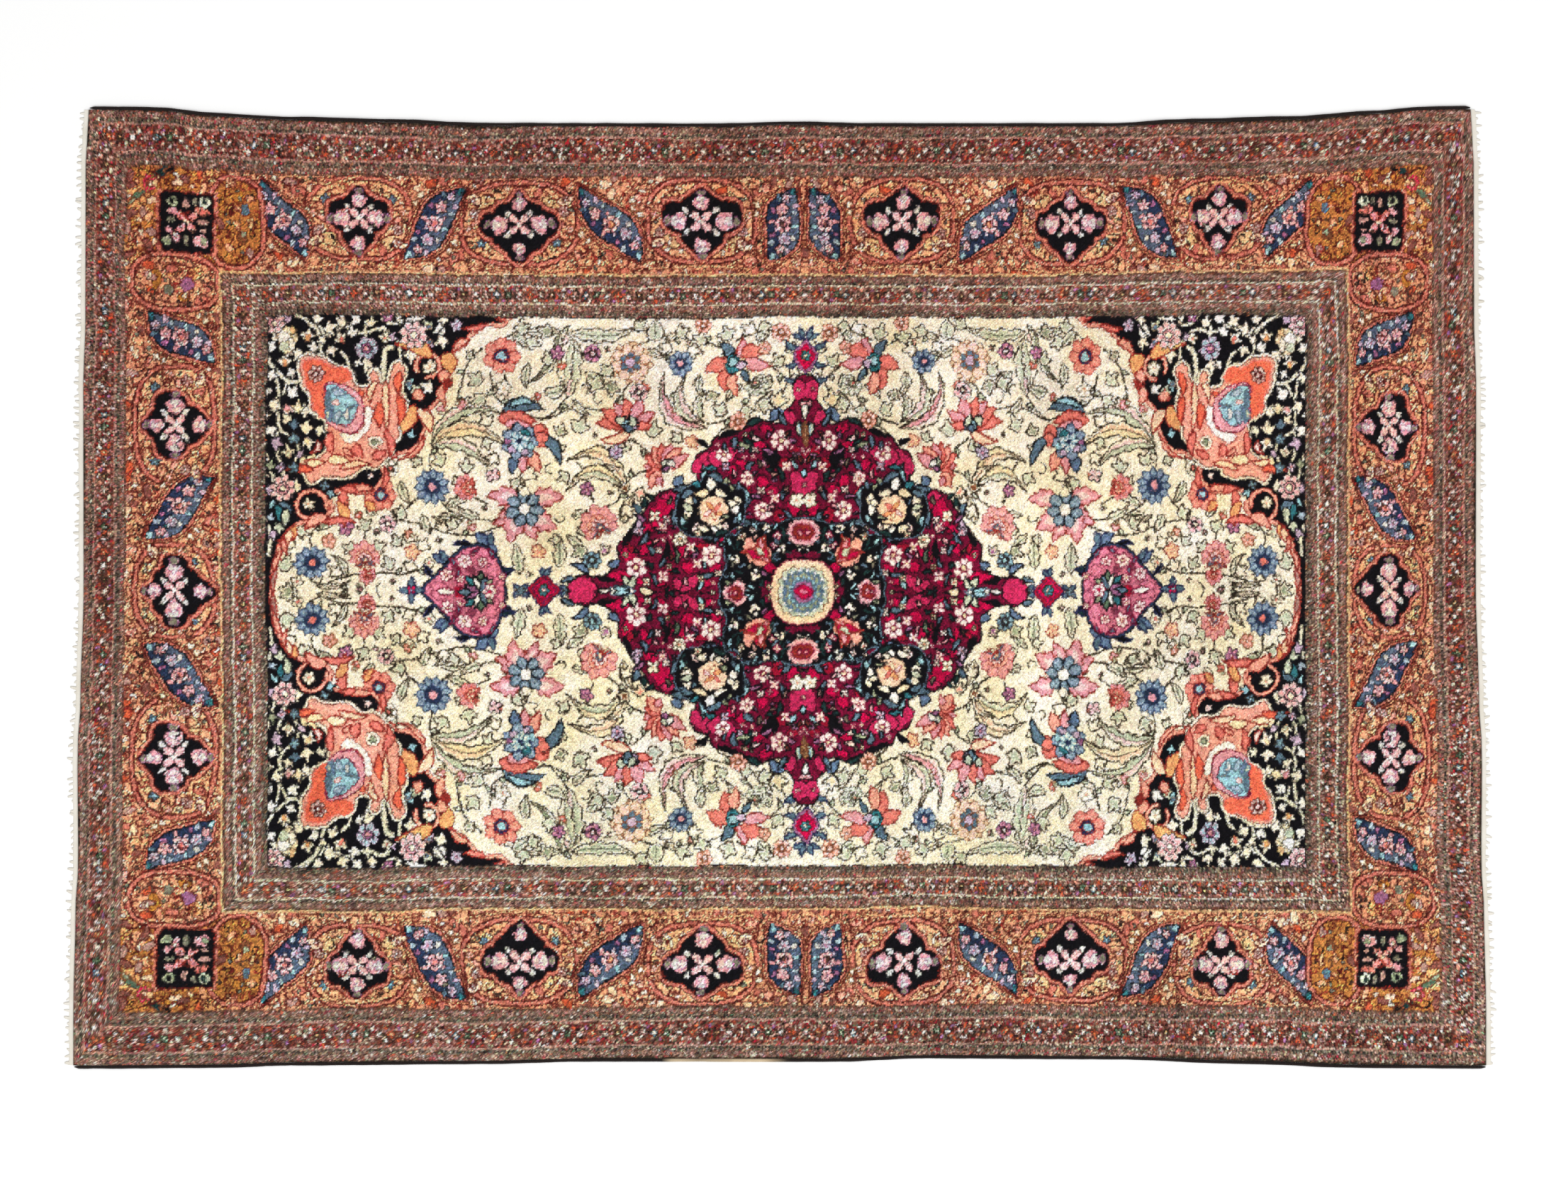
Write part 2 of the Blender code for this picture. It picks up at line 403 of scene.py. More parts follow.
# leaf of several lobes: each lobe a stretch that tapers from the foot to its tip
def ivy(along, across, size, turn, fill="celadon", line="ink", rim=None):
    spot = Spot(along, across, size * 1.2 + 2, turn)
    inside = size * 0.36 - spot.radius
    for aim, length in ((0, 1.0), (66, 0.78), (-66, 0.78), (180, 0.3)):
        c, s = np.cos(np.radians(aim)), np.sin(np.radians(aim))
        t = np.clip((spot.forward * c + spot.side * s) / (size * length), 0, 1)
        away = np.hypot(spot.forward - t * size * length * c, spot.side - t * size * length * s)
        inside = np.maximum(inside, size * (0.42 - 0.34 * t) - away)
    spot.dye(inside + chartPlan["inkMm"], line)
    spot.dye(inside, rim or fill)
    if rim:
        spot.dye(inside - 1.5, fill)


# three petals on a cup: a circle at the tip and one on each side of it
def bud(along, across, size, turn, petal="coral", cup="sage", line="ink"):
    ink = chartPlan["inkMm"]
    spot = Spot(along, across, size * 1.3 + 1, turn)
    lobes = [(0.50, 0.0, 0.52), (0.22, 0.45, 0.42), (0.22, -0.45, 0.42)]
    inside = [size * r - np.hypot(spot.forward - size * f, spot.side - size * s) for f, s, r in lobes]
    petals = np.maximum.reduce(inside)
    foot = size * 0.42 - np.hypot(spot.forward + size * 0.42, spot.side)
    spot.dye(np.maximum(petals, foot), line)
    spot.dye(foot - ink * 0.7, cup)
    spot.dye(petals - ink * 0.75, petal)
    spot.dye(size * 0.17 - np.hypot(spot.forward - size * 0.35, spot.side), "blush")


# a stem with leaves that stand off it by 52 degrees, on one side and then the other
def sprig(points, width=1.9, colour="olive", leaves="celadon", size=10.0, every=3, line="ink"):
    chain = smoothLine(points, False, 3)
    stem(chain, width, colour, False)
    for n in range(every, len(chain) - 1, every):
        step = chain[n + 1] - chain[n - 1]
        aim = np.degrees(np.arctan2(step[1], step[0])) + (52 if (n // every) % 2 else -52)
        blade(*chain[n], size, size * 0.55, aim, 0, leaves, line)


# outlined patch: distance to an ellipse whose rim waves three and five times round, less a thin line
def blob(along, across, long, wide, turn, fill="crimson", line="night", inkMm=1.4):
    spot = Spot(along, across, max(long, wide) * 1.15 + 2, turn)
    share = np.hypot(spot.forward / long, spot.side / wide)
    rim = 1 + 0.07 * np.cos(3 * spot.angle + along) + 0.05 * np.cos(5 * spot.angle + across)
    inside = (rim - share) * min(long, wide)
    spot.dye(inside, line)
    spot.dye(inside - inkMm, fill)


# small motifs at seeded places of a loose lattice, only where the ground wool is still bare all round
def strew(area, pitch, reach, seed, grounds, draw):
    dice = np.random.default_rng(seed)
    tones = [np.array(wool[name]) / 255 for name in grounds]
    angles = np.arange(0, 6.28, 0.785)     # eight ways round the place
    ring = np.array([(0, 0)] + [(reach * np.cos(a), reach * np.sin(a)) for a in angles])
    low, high = area
    for along in np.arange(low[0], high[0], pitch):
        for across in np.arange(low[1], high[1], pitch):
            shift = dice.uniform(-0.45, 0.45, 2) * pitch
            aim, kind, share = dice.uniform(0, 360), int(dice.integers(0, 12)), dice.uniform(0, 1)
            place = (along + shift[0], across + shift[1])
            seen = chart.read(*np.abs(ring + place).T)
            off = np.min([np.abs(seen - ground).sum(1) for ground in tones], 0)
            if off.max() < barely:
                draw(*place, aim, kind, share)


# the field: flowers, leaves and stems on cream, in millimetres along and across from the middle
# along, across, size, petals, dyes, inner petals
fieldRosettes = [
    (439, 342, 27, 7, "coral"), (540, 153, 27, 11, "blue"), (618, 141, 24, 7, "coral"),
    (716, 42, 25, 10, "blueCoral"), (251, 333, 29, 8, "peach", 6), (180, 332, 19, 8, "blue"),
    (307, 45, 14, 7, "slate"), (307, 347, 13, 5, "mauve"), (35, 374, 14, 7, "brown"),
    (147, 388, 12, 5, "brown"), (96, 248, 13, 7, "brown"), (164, 218, 10, 5, "apricot"),
    (357, 346, 10, 5, "mauve"), (571, 57, 11, 5, "apricot"), (691, 73, 10, 5, "brown"),
    (607, 97, 13, 5, "rosePale"), (668, 92, 11, 5, "mauve"), (736, 15, 8, 4, "cream"),
    (437, 294, 11, 5, "cream"), (316, 150, 10, 5, "mauve"), (272, 203, 11, 6, "lilac"),
    (385, 58, 10, 5, "apricot"), (451, 170, 10, 4, "rosePale"), (60, 352, 9, 5, "brown"),
    (240, 290, 13, 4, "rosePale"), (545, 41, 8, 5, "cream"), (603, 178, 12, 5, "cream"),
]

# along, across, size, pointing, dyes, petals
fieldPalmettes = [
    (299, 104, 25, 70, "pink", 7), (641, 52, 21, 90, "pink", 8), (491, 152, 17, 350, "bloom", 6),
    (68, 296, 15, 230, "leafy", 7), (638, 18, 12, 270, "bloom", 7),
]

# great flowers built petal by petal: along, across, length, width, pointing, bend, wool
fieldSprays = [
    # at 257, 248: coral petals over a celadon and slate heart, a peach leaf under them
    [
        (252, 236, 46, 13, -20, -6, "peach"), (250, 242, 52, 18, 4, 3, "coral"),
        (250, 244, 47, 20, 27, 0, "coral"), (250, 246, 40, 17, 48, 0, "rose"),
        (249, 246, 36, 18, 72, 0, "coral"), (247, 246, 36, 17, 104, 0, "rose"),
        (246, 244, 33, 13, 150, 0, "rose"), (248, 240, 27, 11, 176, 0, "coral"),
        (272, 246, 15, 12, 150, 0, "celadon"), (258, 234, 20, 12, 100, 0, "mist"),
        (254, 234, 20, 10, 130, 0, "lilac"), (246, 240, 18, 10, 60, 0, "celadon"),
        (252, 232, 14, 10, 60, 0, "slate"),
    ],
    # at 206, 184: an arc of salmon petals
    [
        (206, 178, 27, 15, 12, 0, "rose"), (206, 180, 32, 14, 38, 0, "coral"),
        (205, 182, 34, 15, 62, 0, "salmon"), (204, 183, 34, 15, 84, 0, "coral"),
        (203, 183, 34, 15, 106, 0, "rose"), (202, 182, 35, 15, 128, 0, "salmon"),
        (202, 180, 37, 15, 150, 0, "rose"), (208, 176, 24, 13, 340, 0, "coral"),
        (210, 174, 28, 15, 305, 0, "salmon"), (214, 168, 16, 9, 250, 0, "rose"),
        (208, 188, 16, 11, 190, 0, "celadon"), (200, 190, 14, 9, 220, 0, "milk"),
        (206, 176, 12, 8, 150, 0, "mauve"),
    ],
    # at 100, 330: leaf-like petals round a teal heart
    [
        (97, 338, 31, 15, 103, 3, "rose"), (94, 342, 36, 18, 172, -3, "coral"),
        (90, 334, 40, 15, 190, 2, "rose"), (108, 336, 32, 14, 60, 4, "slate"),
        (110, 332, 36, 19, 342, 3, "coral"), (112, 324, 34, 19, 278, 0, "coral"),
        (106, 318, 36, 14, 258, 2, "salmon"), (92, 322, 22, 9, 235, 0, "slate"),
        (116, 330, 26, 24, 180, 0, "teal"), (112, 332, 17, 13, 180, 0, "mist"),
        (100, 326, 15, 10, 160, 0, "lilac"),
    ],
    # at 412, 219: a blue flower among coral petals under slate caps
    [
        (438, 262, 62, 19, 177, -9, "slate"), (430, 268, 44, 9, 172, -6, "mist"),
        (444, 250, 58, 17, 182, -4, "coral"), (434, 246, 44, 14, 188, 0, "rose"),
        (392, 240, 26, 19, 215, 0, "coral"), (390, 226, 24, 20, 200, 0, "coral"),
        (380, 228, 52, 14, 238, -6, "slate"), (398, 206, 34, 15, 246, 0, "salmon"),
        (408, 202, 30, 13, 268, 0, "rose"), (430, 222, 24, 10, 165, 0, "denim"),
        (420, 198, 26, 14, 278, 0, "denim"),
    ],
]

# along, across, size, pointing, petal wool
fieldBuds = [
    (447, 169, 9, 130, "coral"), (571, 56, 10, 180, "salmon"), (385, 60, 10, 90, "salmon"),
    (232, 294, 11, 80, "coral"), (691, 72, 10, 60, "rust"), (606, 93, 11, 100, "coral"),
    (500, 272, 10, 200, "rose"), (352, 330, 9, 250, "coral"), (574, 84, 9, 30, "salmon"),
    (482, 96, 9, 250, "rose"), (528, 262, 9, 100, "rose"), (192, 262, 9, 340, "rose"),
    (60, 352, 9, 140, "salmon"), (388, 282, 9, 150, "coral"), (652, 112, 9, 240, "coral"),
]

# along, across, length, width, pointing, bend, teeth, fill (celadon if none is given), other half
fieldLeaves = [
    (343, 374, 92, 30, 269, -7, 4, "celadon", "blush"), (338, 376, 94, 20, 176, 8, 4),
    (354, 378, 86, 15, 300, -13, 4, "celadon", "sage"), (352, 378, 64, 14, 2, -3, 3),
    (424, 376, 34, 17, 220, 0, 2), (336, 366, 78, 24, 278, 5, 4, "celadon", "cream"),
    (543, 214, 114, 20, 157, -26, 4, "blush", "celadon"),
    (543, 214, 110, 24, 181, -24, 4, "peach", "straw"), (543, 212, 92, 20, 199, -17, 4, "blush", "celadon"),
    (143, 238, 100, 21, 53, -31, 4, "blush", "rose"), (146, 246, 74, 20, 70, -25, 4, "celadon", "blush"),
    (150, 248, 44, 15, 98, -9, 3, "milk", "celadon"), (262, 150, 92, 24, 26, 33, 4, "peach", "straw"),
    (262, 150, 84, 22, 358, 27, 4, "celadon", "straw"), (262, 146, 50, 15, 50, 12, 3, "peach"),
    (412, 24, 46, 20, 84, 0, 3), (355, 34, 48, 20, 92, 0, 4), (323, 66, 28, 15, 40, 0, 3),
    (290, 296, 34, 22, 40, 0, 0), (216, 364, 32, 24, 88, 0, 0), (500, 112, 40, 16, 335, 5, 3, "sage"),
    (470, 108, 36, 15, 28, -4, 3), (520, 126, 54, 14, 146, 4, 3), (494, 104, 46, 14, 8, -4, 3),
    (556, 112, 30, 14, 250, 0, 3), (626, 108, 28, 14, 60, 0, 0), (376, 290, 32, 17, 160, 6, 0),
    (152, 316, 34, 14, 260, 4, 2), (402, 330, 36, 14, 270, 3, 0), (588, 160, 36, 14, 244, 3, 0),
    (126, 222, 34, 15, 145, 0, 0, "straw"), (72, 262, 36, 16, 130, 3, 0, "straw"),
    (262, 100, 44, 15, 110, -4, 0, "straw"), (336, 112, 26, 12, 170, 0, 3),
    (710, 6, 46, 9, 178, 0, 0, "cream"), (668, 18, 40, 11, 60, 6, 0), (334, 280, 34, 12, 222, 4, 0),
    (204, 366, 36, 11, 148, 3, 2, "straw"), (230, 352, 30, 12, 205, 0, 0, "sage"),
    (70, 362, 30, 15, 130, 0, 0), (90, 300, 34, 13, 315, 4, 0, "straw"),
]

# lobed leaves of the cream ground: along, across, size, pointing, wool (celadon if none is given)
fieldIvies = [
    (477, 306, 15, 45), (489, 180, 14, 95), (527, 190, 14, 60), (220, 232, 16, 100), (585, 113, 13, 20),
    (600, 184, 14, 60), (240, 306, 12, 60, "blush"), (326, 240, 16, 120), (298, 300, 15, 20),
    (402, 170, 16, 130, "cream"), (420, 158, 14, 200), (450, 196, 12, 300, "cream"),
    (524, 92, 12, 100, "cream"), (508, 98, 12, 20), (575, 34, 12, 110, "cream"), (604, 36, 13, 60),
    (752, 38, 17, 100), (680, 26, 12, 40, "cream"), (640, 92, 13, 60), (574, 78, 12, 90, "cream"),
    (622, 62, 12, 150), (660, 60, 12, 30), (592, 70, 11, 60), (556, 66, 12, 120, "cream"),
    (700, 96, 12, 110, "sage"), (322, 90, 13, 160), (238, 146, 11, 280, "salmon"),
    (260, 150, 11, 60, "brown"), (258, 120, 12, 240, "cream"), (60, 270, 14, 200),
    (40, 274, 15, 100, "straw"), (56, 300, 14, 30), (86, 262, 12, 250), (120, 262, 13, 30),
    (184, 222, 11, 60), (256, 210, 12, 30), (270, 216, 10, 200, "slate"), (322, 60, 14, 330, "sage"),
    (288, 58, 10, 60, "mauve"), (356, 206, 13, 80), (40, 330, 13, 60), (24, 350, 12, 130),
    (20, 320, 12, 220, "cream"), (112, 372, 15, 70), (148, 366, 13, 20), (180, 376, 13, 160),
    (60, 384, 13, 250), (200, 356, 12, 300, "cream"), (240, 386, 13, 140), (370, 334, 13, 80),
    (372, 376, 14, 20, "sage"), (408, 380, 14, 80), (396, 362, 13, 200), (470, 278, 13, 330),
    (494, 270, 12, 120, "blush"), (460, 246, 12, 60, "cream"), (502, 160, 8, 60),
    (746, 70, 12, 40, "cream"), (732, 88, 11, 200), (708, 16, 10, 60, "cream"),
]

fieldStems = [
    [(457, 316), (453, 297), (451, 283), (435, 269), (415, 250)],
    [(436, 368), (410, 378), (370, 380), (343, 376)], [(540, 172), (545, 195), (538, 215), (531, 226)],
    [(527, 132), (500, 112), (455, 104), (432, 112)],
    [(600, 104), (560, 100), (520, 86), (480, 82), (440, 96)],
    [(290, 262), (330, 268), (371, 252), (400, 258)], [(250, 222), (236, 212), (225, 200), (214, 192)],
    [(292, 122), (272, 132), (262, 152), (244, 170), (226, 176)],
    [(240, 360), (200, 372), (164, 366), (136, 362), (116, 350)], [(225, 345), (205, 346), (190, 338)],
    [(83, 305), (78, 284), (92, 262), (120, 248), (141, 243)], [(641, 32), (640, 4)],
    [(641, 74), (641, 104)], [(691, 13), (660, 21), (614, 24), (586, 24), (562, 31), (548, 40)],
    [(706, 4), (684, 6), (662, 13)], [(343, 370), (330, 350), (318, 345)],
    [(251, 304), (262, 290), (262, 276)], [(460, 128), (480, 140), (489, 148)],
    [(406, 166), (410, 182), (404, 196)], [(380, 250), (360, 262), (340, 290), (346, 320), (356, 330)],
    [(715, 64), (716, 84), (700, 104)], [(64, 330), (44, 320), (30, 300), (40, 276)],
    [(177, 314), (180, 296), (192, 276)], [(100, 364), (70, 378), (48, 376)],
    [(436, 314), (436, 300), (452, 286)], [(330, 190), (318, 170), (306, 132)],
    [(468, 352), (490, 330), (500, 300), (505, 280)], [(560, 140), (580, 120), (610, 100)],
]

# petals of the great pink flower: along, across, length, width, pointing, bend
pinkPetals = [
    (414, 134, 46, 31, 6, 3), (418, 122, 40, 27, 324, -4), (412, 112, 44, 34, 286, 4),
    (398, 104, 32, 23, 250, 3), (390, 114, 38, 31, 216, 4), (392, 133, 44, 31, 174, -3),
]


# cream ground, stems and leaves, then flowers over them
def drawField():
    long, wide = ruled["field"]
    panel([(-9, -9), (long, -9), (long, wide), (-9, wide)], [(0, "cream")], False)
    for points in fieldStems:
        sprig(points, 2.8, size=13, every=4)
    each(leaf, fieldLeaves, line="olive", rim="cream")
    each(ivy, fieldIvies, line="olive", rim="cream")
    each(bud, fieldBuds, cup="celadon", line="brown")
    for rows in fieldSprays:
        spray(rows)
    each(palmette, fieldPalmettes)
    each(rosette, fieldRosettes, turn=30, ring=0.46)
    # great pink flower: six pointed petals round three sides, a slate ring and a cream heart
    for along, across, length, width, aim, bend in pinkPetals:
        leaf(along, across, length, width, aim, bend, 3, "rose", None, "brick", False, belly=0.6)
        blade(along, across, length * 0.72, width * 0.5, aim, bend, "blush", "rose")
    leaf(410, 136, 26, 15, 100, 0, 0, "cream", None, "olive")
    leaf(400, 136, 22, 12, 70, 0, 0, "celadon", None, "olive")
    spot = Spot(405, 121, 30, 262)
    petalRing(spot, ("night", "slate", "haze"), 7, 6, 22, 16, 1.4, 0.6, 0.4)
    spot.disc(9.5, "night")
    spot.disc(8, "milk")
    blob(404, 146, 8, 7.5, 0, "cream", "olive", 1.2)
    # heart of the blue flower, flecked with mist and lilac
    spot = Spot(412, 219, 30, 80)
    petalRing(spot, ("night", "denim", "haze"), 7, 4, 24, 17, 1.3, 0.8)
    petalRing(spot, ("navy", "mist", "milk"), 7, 2, 15, 10, turn=0.45)
    spot.disc(4, "navy")
    each(blob, [(424, 208, 7, 5, 40, "lilac"), (430, 218, 6, 5, 0, "mauve"), (404, 232, 8, 5, 20, "teal"),
                (396, 212, 7, 5, 90, "mist"), (380, 224, 9, 8, 0, "coral"), (404, 203, 6, 5, 0, "lilac")],
         inkMm=1.0)


# small outlined leaves, hooks of stem and buds in what is left of the cream ground
def fieldFiller():
    def draw(along, across, aim, kind, share):
        if kind < 7:
            fill = ("celadon", "cream", "celadon", "sage", "cream", "celadon", "milk")[kind]
            length = 13 + 8 * share
            a = along - length / 2 * np.cos(np.radians(aim))
            c = across - length / 2 * np.sin(np.radians(aim))
            ivy(a, c, length * 0.66, aim, fill, "olive", "cream")
        elif kind < 9:
            stem(curl(along, across, (3, 11), (aim, aim + 190), 8), 2.3, "olive")
        else:
            petal = ("rose", "salmon", "blush")[kind - 9]
            bud(along, across, 5 + 2.5 * share, aim, petal, "celadon", "olive")
    for pitch, reach, seed in [(19, 11.5, 5), (15, 9.5, 15)]:
        strew(((6, 6), (778, 395)), pitch, reach, seed, ["cream"], draw)


# pendants at the ends of the medallion, on the long axis; then one on the short axis
pendantHeart = [(556, 0), (541, 20), (524, 36), (510, 54), (494, 66), (468, 69), (449, 56), (437, 34),
                (432, 0)]
pendantLeaves = [
    (462, 62, 28, 18, 55, 4, "denim"), (456, 66, 22, 12, 100, 0), (444, 56, 20, 12, 20, 3, "denim"),
    (512, 46, 30, 15, 20, -4, "denim"), (518, 44, 22, 10, 55), (540, 22, 22, 8, 50, 0, "night"),
    (436, 36, 18, 8, 200, 2, "pine"), (438, 24, 16, 8, 160, 2, "night"), (484, 68, 26, 8, 0, 3, "night"),
]


# the heart and its flower, the finial, links and lozenge, then the short pendant
def drawPendants():
    each(blade, pendantLeaves, line="navy")
    panel(pendantHeart + [(a, -c) for a, c in pendantHeart[-2:0:-1]],
          [(-1.5, "night"), (0.5, "indigo"), (3.6, "plum"), (5.0, "magenta"), (15.0, "plum"),
           (16.5, "cerise")])
    each(blob, [(530, 6, 14, 8, 0, "magenta"), (484, 30, 10, 6, 30, "plum"), (506, 34, 9, 5, 60, "plum"),
                (452, 30, 8, 10, 0, "magenta"), (500, 4, 8, 5, 0, "madder"), (440, 10, 6, 12, 0, "magenta")],
         line="plum")
    # flower of teal, slate and cream petals, with small cream blossoms round it
    for length, width, aim, dye in [
            (32, 15, 0, "slate"), (32, 15, 45, "teal"), (30, 15, 90, "moss"), (26, 13, 135, "sage"),
            (22, 12, 180, "milk"), (26, 9, 22, "mauve"), (26, 9, 68, "milk"), (24, 9, 112, "slate")]:
        blade(469, 0, length, width, aim, 0, dye)
    spot = Spot(456, 0, 12)
    petalRing(spot, ("wine", "milk", "rose"), 6, 2, 9, 7, 1.15, 0.75)
    spot.disc(2.6, "crimson")
    each(rosette, [(493, 44, 11.5), (467, 43, 8.5), (519, 24, 10), (499, 18, 7), (438, 22, 6), (480, 56, 5)],
         petals=6, dyes="snow", turn=15)
    blade(533, 0, 30, 11, 180, 0, "milk", "wine")
    each(blade, [(505, 20, 16, 6, 100, 2), (508, 36, 16, 6, 60, 2), (484, 58, 16, 6, 160, 2),
                 (452, 48, 16, 6, 60, 2)], line="wine")
    # cross-shaped finial, small lozenge with its links, and the knob
    for aim in (0, 90, 180, 270):
        blade(571, 0, 21, 11, aim, line="navy")
    rosette(571, 0, 7, 4, "wine", turn=45)
    for along in (343, 411):
        for aim in (40, 140, 220, 320):
            blade(along, 0, 15, 8, aim, line="navy")
        rosette(along, 0, 6, 4, "slate")
    panel([(401, 0), (388, 15), (377, 24), (366, 15), (353, 0), (366, -15), (377, -24), (388, -15)],
          [(-1, "navy"), (1, "madder"), (5, "navy"), (6, "crimson")])
    each(blade, [(377, 22, 15, 8, 70), (377, 22, 15, 8, 130)], line="navy")
    rosette(377, 0, 9, 6, "teal")
    # pendant on the short axis
    each(blade, [(3, 366, 18, 9, 20), (3, 366, 18, 9, 70), (12, 332, 22, 9, 345, -4),
                 (12, 304, 22, 9, 10, -4), (12, 352, 22, 9, 30, -4)], line="navy")
    panel([(0, 366), (10, 354), (19, 342), (15, 328), (0, 314), (-15, 328), (-19, 342), (-10, 354)],
          [(-1, "navy"), (1, "mauve"), (4, "wine"), (5.2, "crimson")])
    rosette(0, 340, 8, 6, "teal")
    rosette(0, 306, 6, 4, "slate")


# the medallion: crimson lobes with a thin dark edge, black roundels and a black middle
medallionEdge = [
    (0, 312), (12, 309), (20, 296), (17, 276), (28, 262), (27, 248), (44, 243), (64, 249), (82, 240),
    (104, 231), (130, 225), (141, 208), (157, 201), (162, 186), (157, 164), (168, 149), (186, 145),
    (206, 146), (222, 137), (230, 122), (240, 108), (250, 96), (260, 80), (271, 66), (270, 50), (274, 36),
    (290, 23), (306, 20), (322, 23), (338, 13), (343, 0),
]

# brighter and darker patches of the ground: along, across, half length, half width, turn, wool (crimson
# if none is given)
medallionPatches = [
    (322, 8, 22, 12, 0, "raspberry"), (270, 21, 22, 9, -8), (256, 53, 12, 10, 20), (230, 64, 15, 7, 118),
    (208, 116, 36, 15, 118), (196, 138, 14, 7, 0, "raspberry"), (146, 186, 22, 15, 140, "raspberry"),
    (120, 196, 24, 14, 160, "raspberry"), (66, 211, 12, 9, 0), (22, 252, 13, 8, 60, "raspberry"),
    (8, 290, 15, 13, 90, "raspberry"), (6, 158, 20, 14, 60, "raspberry"), (46, 148, 12, 8, 0),
    (60, 160, 9, 12, 0), (14, 122, 14, 9, 60), (178, 58, 20, 8, 150), (168, 36, 12, 9, 0),
    (166, 13, 20, 8, 140, "raspberry"), (212, 16, 12, 9, 30), (196, 30, 9, 6, 0, "madder"),
    (184, 12, 9, 7, 70, "raspberry"), (142, 16, 10, 8, 30), (130, 34, 12, 8, 120), (236, 14, 9, 5, 0),
    (30, 188, 12, 10, 0, "madder"), (12, 204, 16, 9, 30, "madder"), (56, 236, 12, 7, 20),
    (96, 112, 8, 14, 0), (36, 112, 10, 12, 0, "madder"), (112, 72, 14, 6, 20),
    (150, 66, 14, 6, 170, "madder"), (88, 184, 12, 8, 30), (104, 176, 10, 7, 120),
    (84, 146, 10, 8, 60, "madder"), (228, 92, 10, 6, 120), (252, 64, 10, 5, 60, "madder"),
]

# arabesque leaves between them: along, across, length, width, pointing, bend, wool (slate if none is given)
medallionLeaves = [
    (31, 262, 27, 15, 320, 3, "denim"), (28, 240, 24, 9, 60, 0), (184, 150, 20, 17, 110, -3, "denim"),
    (192, 148, 24, 10, 162, 3), (240, 112, 19, 11, 60, 3), (234, 122, 16, 9, 100, 0, "pine"),
    (284, 36, 19, 13, 150, 2, "denim"), (312, 24, 31, 11, 28, 5, "denim"),
    (300, 20, 26, 9, 190, 2, "night"), (334, 20, 21, 9, 342, 0), (62, 250, 28, 9, 338, 2, "pine"),
    (96, 234, 32, 9, 338, 2, "night"), (98, 226, 22, 10, 280, 2), (140, 210, 22, 8, 30, 2, "night"),
    (150, 160, 26, 10, 95, 4, "mist"), (126, 178, 22, 9, 350, 3, "teal"), (110, 166, 18, 9, 300, 0, "sage"),
    (250, 84, 30, 10, 110, 3, "lilac"), (240, 70, 24, 9, 120, 4), (262, 66, 26, 9, 120, 0, "night"),
    (214, 84, 28, 8, 130, 3), (206, 46, 30, 8, 100, 4, "night"), (220, 52, 20, 8, 60, 3),
    (186, 40, 26, 8, 80, 4, "moss"), (214, 8, 22, 8, 60, 4), (150, 26, 22, 9, 170, 3),
    (156, 4, 26, 9, 100, 4, "mist"), (120, 84, 34, 9, 0, 4, "mist"), (92, 96, 28, 9, 200, 4, "mauve"),
    (60, 100, 40, 7, 0, 3), (40, 96, 30, 9, 160, 3, "pine"), (84, 128, 26, 9, 80, 4, "mist"),
    (86, 104, 26, 8, 88, -4), (76, 200, 28, 10, 60, 5, "pine"), (54, 214, 36, 11, 250, 5, "night"),
    (48, 180, 30, 10, 100, 4, "night"), (72, 190, 24, 10, 300, 4), (96, 216, 22, 10, 190, 3, "sage"),
    (80, 228, 22, 8, 200, 2, "blush"), (32, 160, 24, 9, 70, 3, "pine"), (10, 180, 20, 9, 30, 3, "mist"),
    (34, 132, 24, 8, 100, 3), (20, 100, 24, 9, 60, 4), (60, 138, 22, 7, 0, 2, "mauve"),
    (76, 136, 16, 7, 300, 2), (12, 220, 22, 9, 330, 3, "mauve"), (44, 200, 20, 8, 20, 2, "mauve"),
    (104, 156, 20, 7, 200, 2), (190, 96, 26, 9, 80, 4), (186, 124, 22, 9, 90, 3, "denim"),
    (200, 84, 22, 7, 20, 3, "rose"), (232, 100, 20, 8, 40, 2, "mauve"), (150, 80, 30, 8, 180, 4, "denim"),
    (132, 70, 22, 8, 30, 2, "night"),
]

# along, across, size, petals, dyes
medallionFlowers = [
    (243, 34, 16, 6, "snow"), (135, 54, 15.5, 6, "snow"), (59, 119, 14.5, 6, "snow"),
    (36, 220, 14, 6, "snow"), (118, 199, 12, 5, "snow"), (82, 165, 11.5, 6, "snow"),
    (181, 75, 11.5, 7, "cream"), (218, 109, 9, 4, "cream"), (206, 95, 7, 4, "snow"),
    (26, 183, 8, 4, "snow"), (42, 136, 8, 4, "snow"), (205, 23, 9, 4, "snow"), (166, 65, 8, 4, "snow"),
    (156, 41, 8, 4, "snow"), (9, 134, 11, 5, "cream"), (200, 104, 6, 4, "rosePale"),
    (240, 88, 7, 4, "lilac"), (100, 150, 6, 4, "rosePale"), (114, 181, 7, 4, "lilac"),
    (212, 60, 6, 4, "rosePale"), (62, 149, 6, 4, "rosePale"), (70, 206, 5, 4, "rosePale"),
    (12, 198, 6, 4, "mauve"), (150, 20, 5, 4, "cream"), (228, 14, 6, 4, "cream"),
    (124, 28, 6, 4, "rosePale"), (92, 206, 5, 4, "lilac"), (58, 188, 5, 4, "mauve"),
]

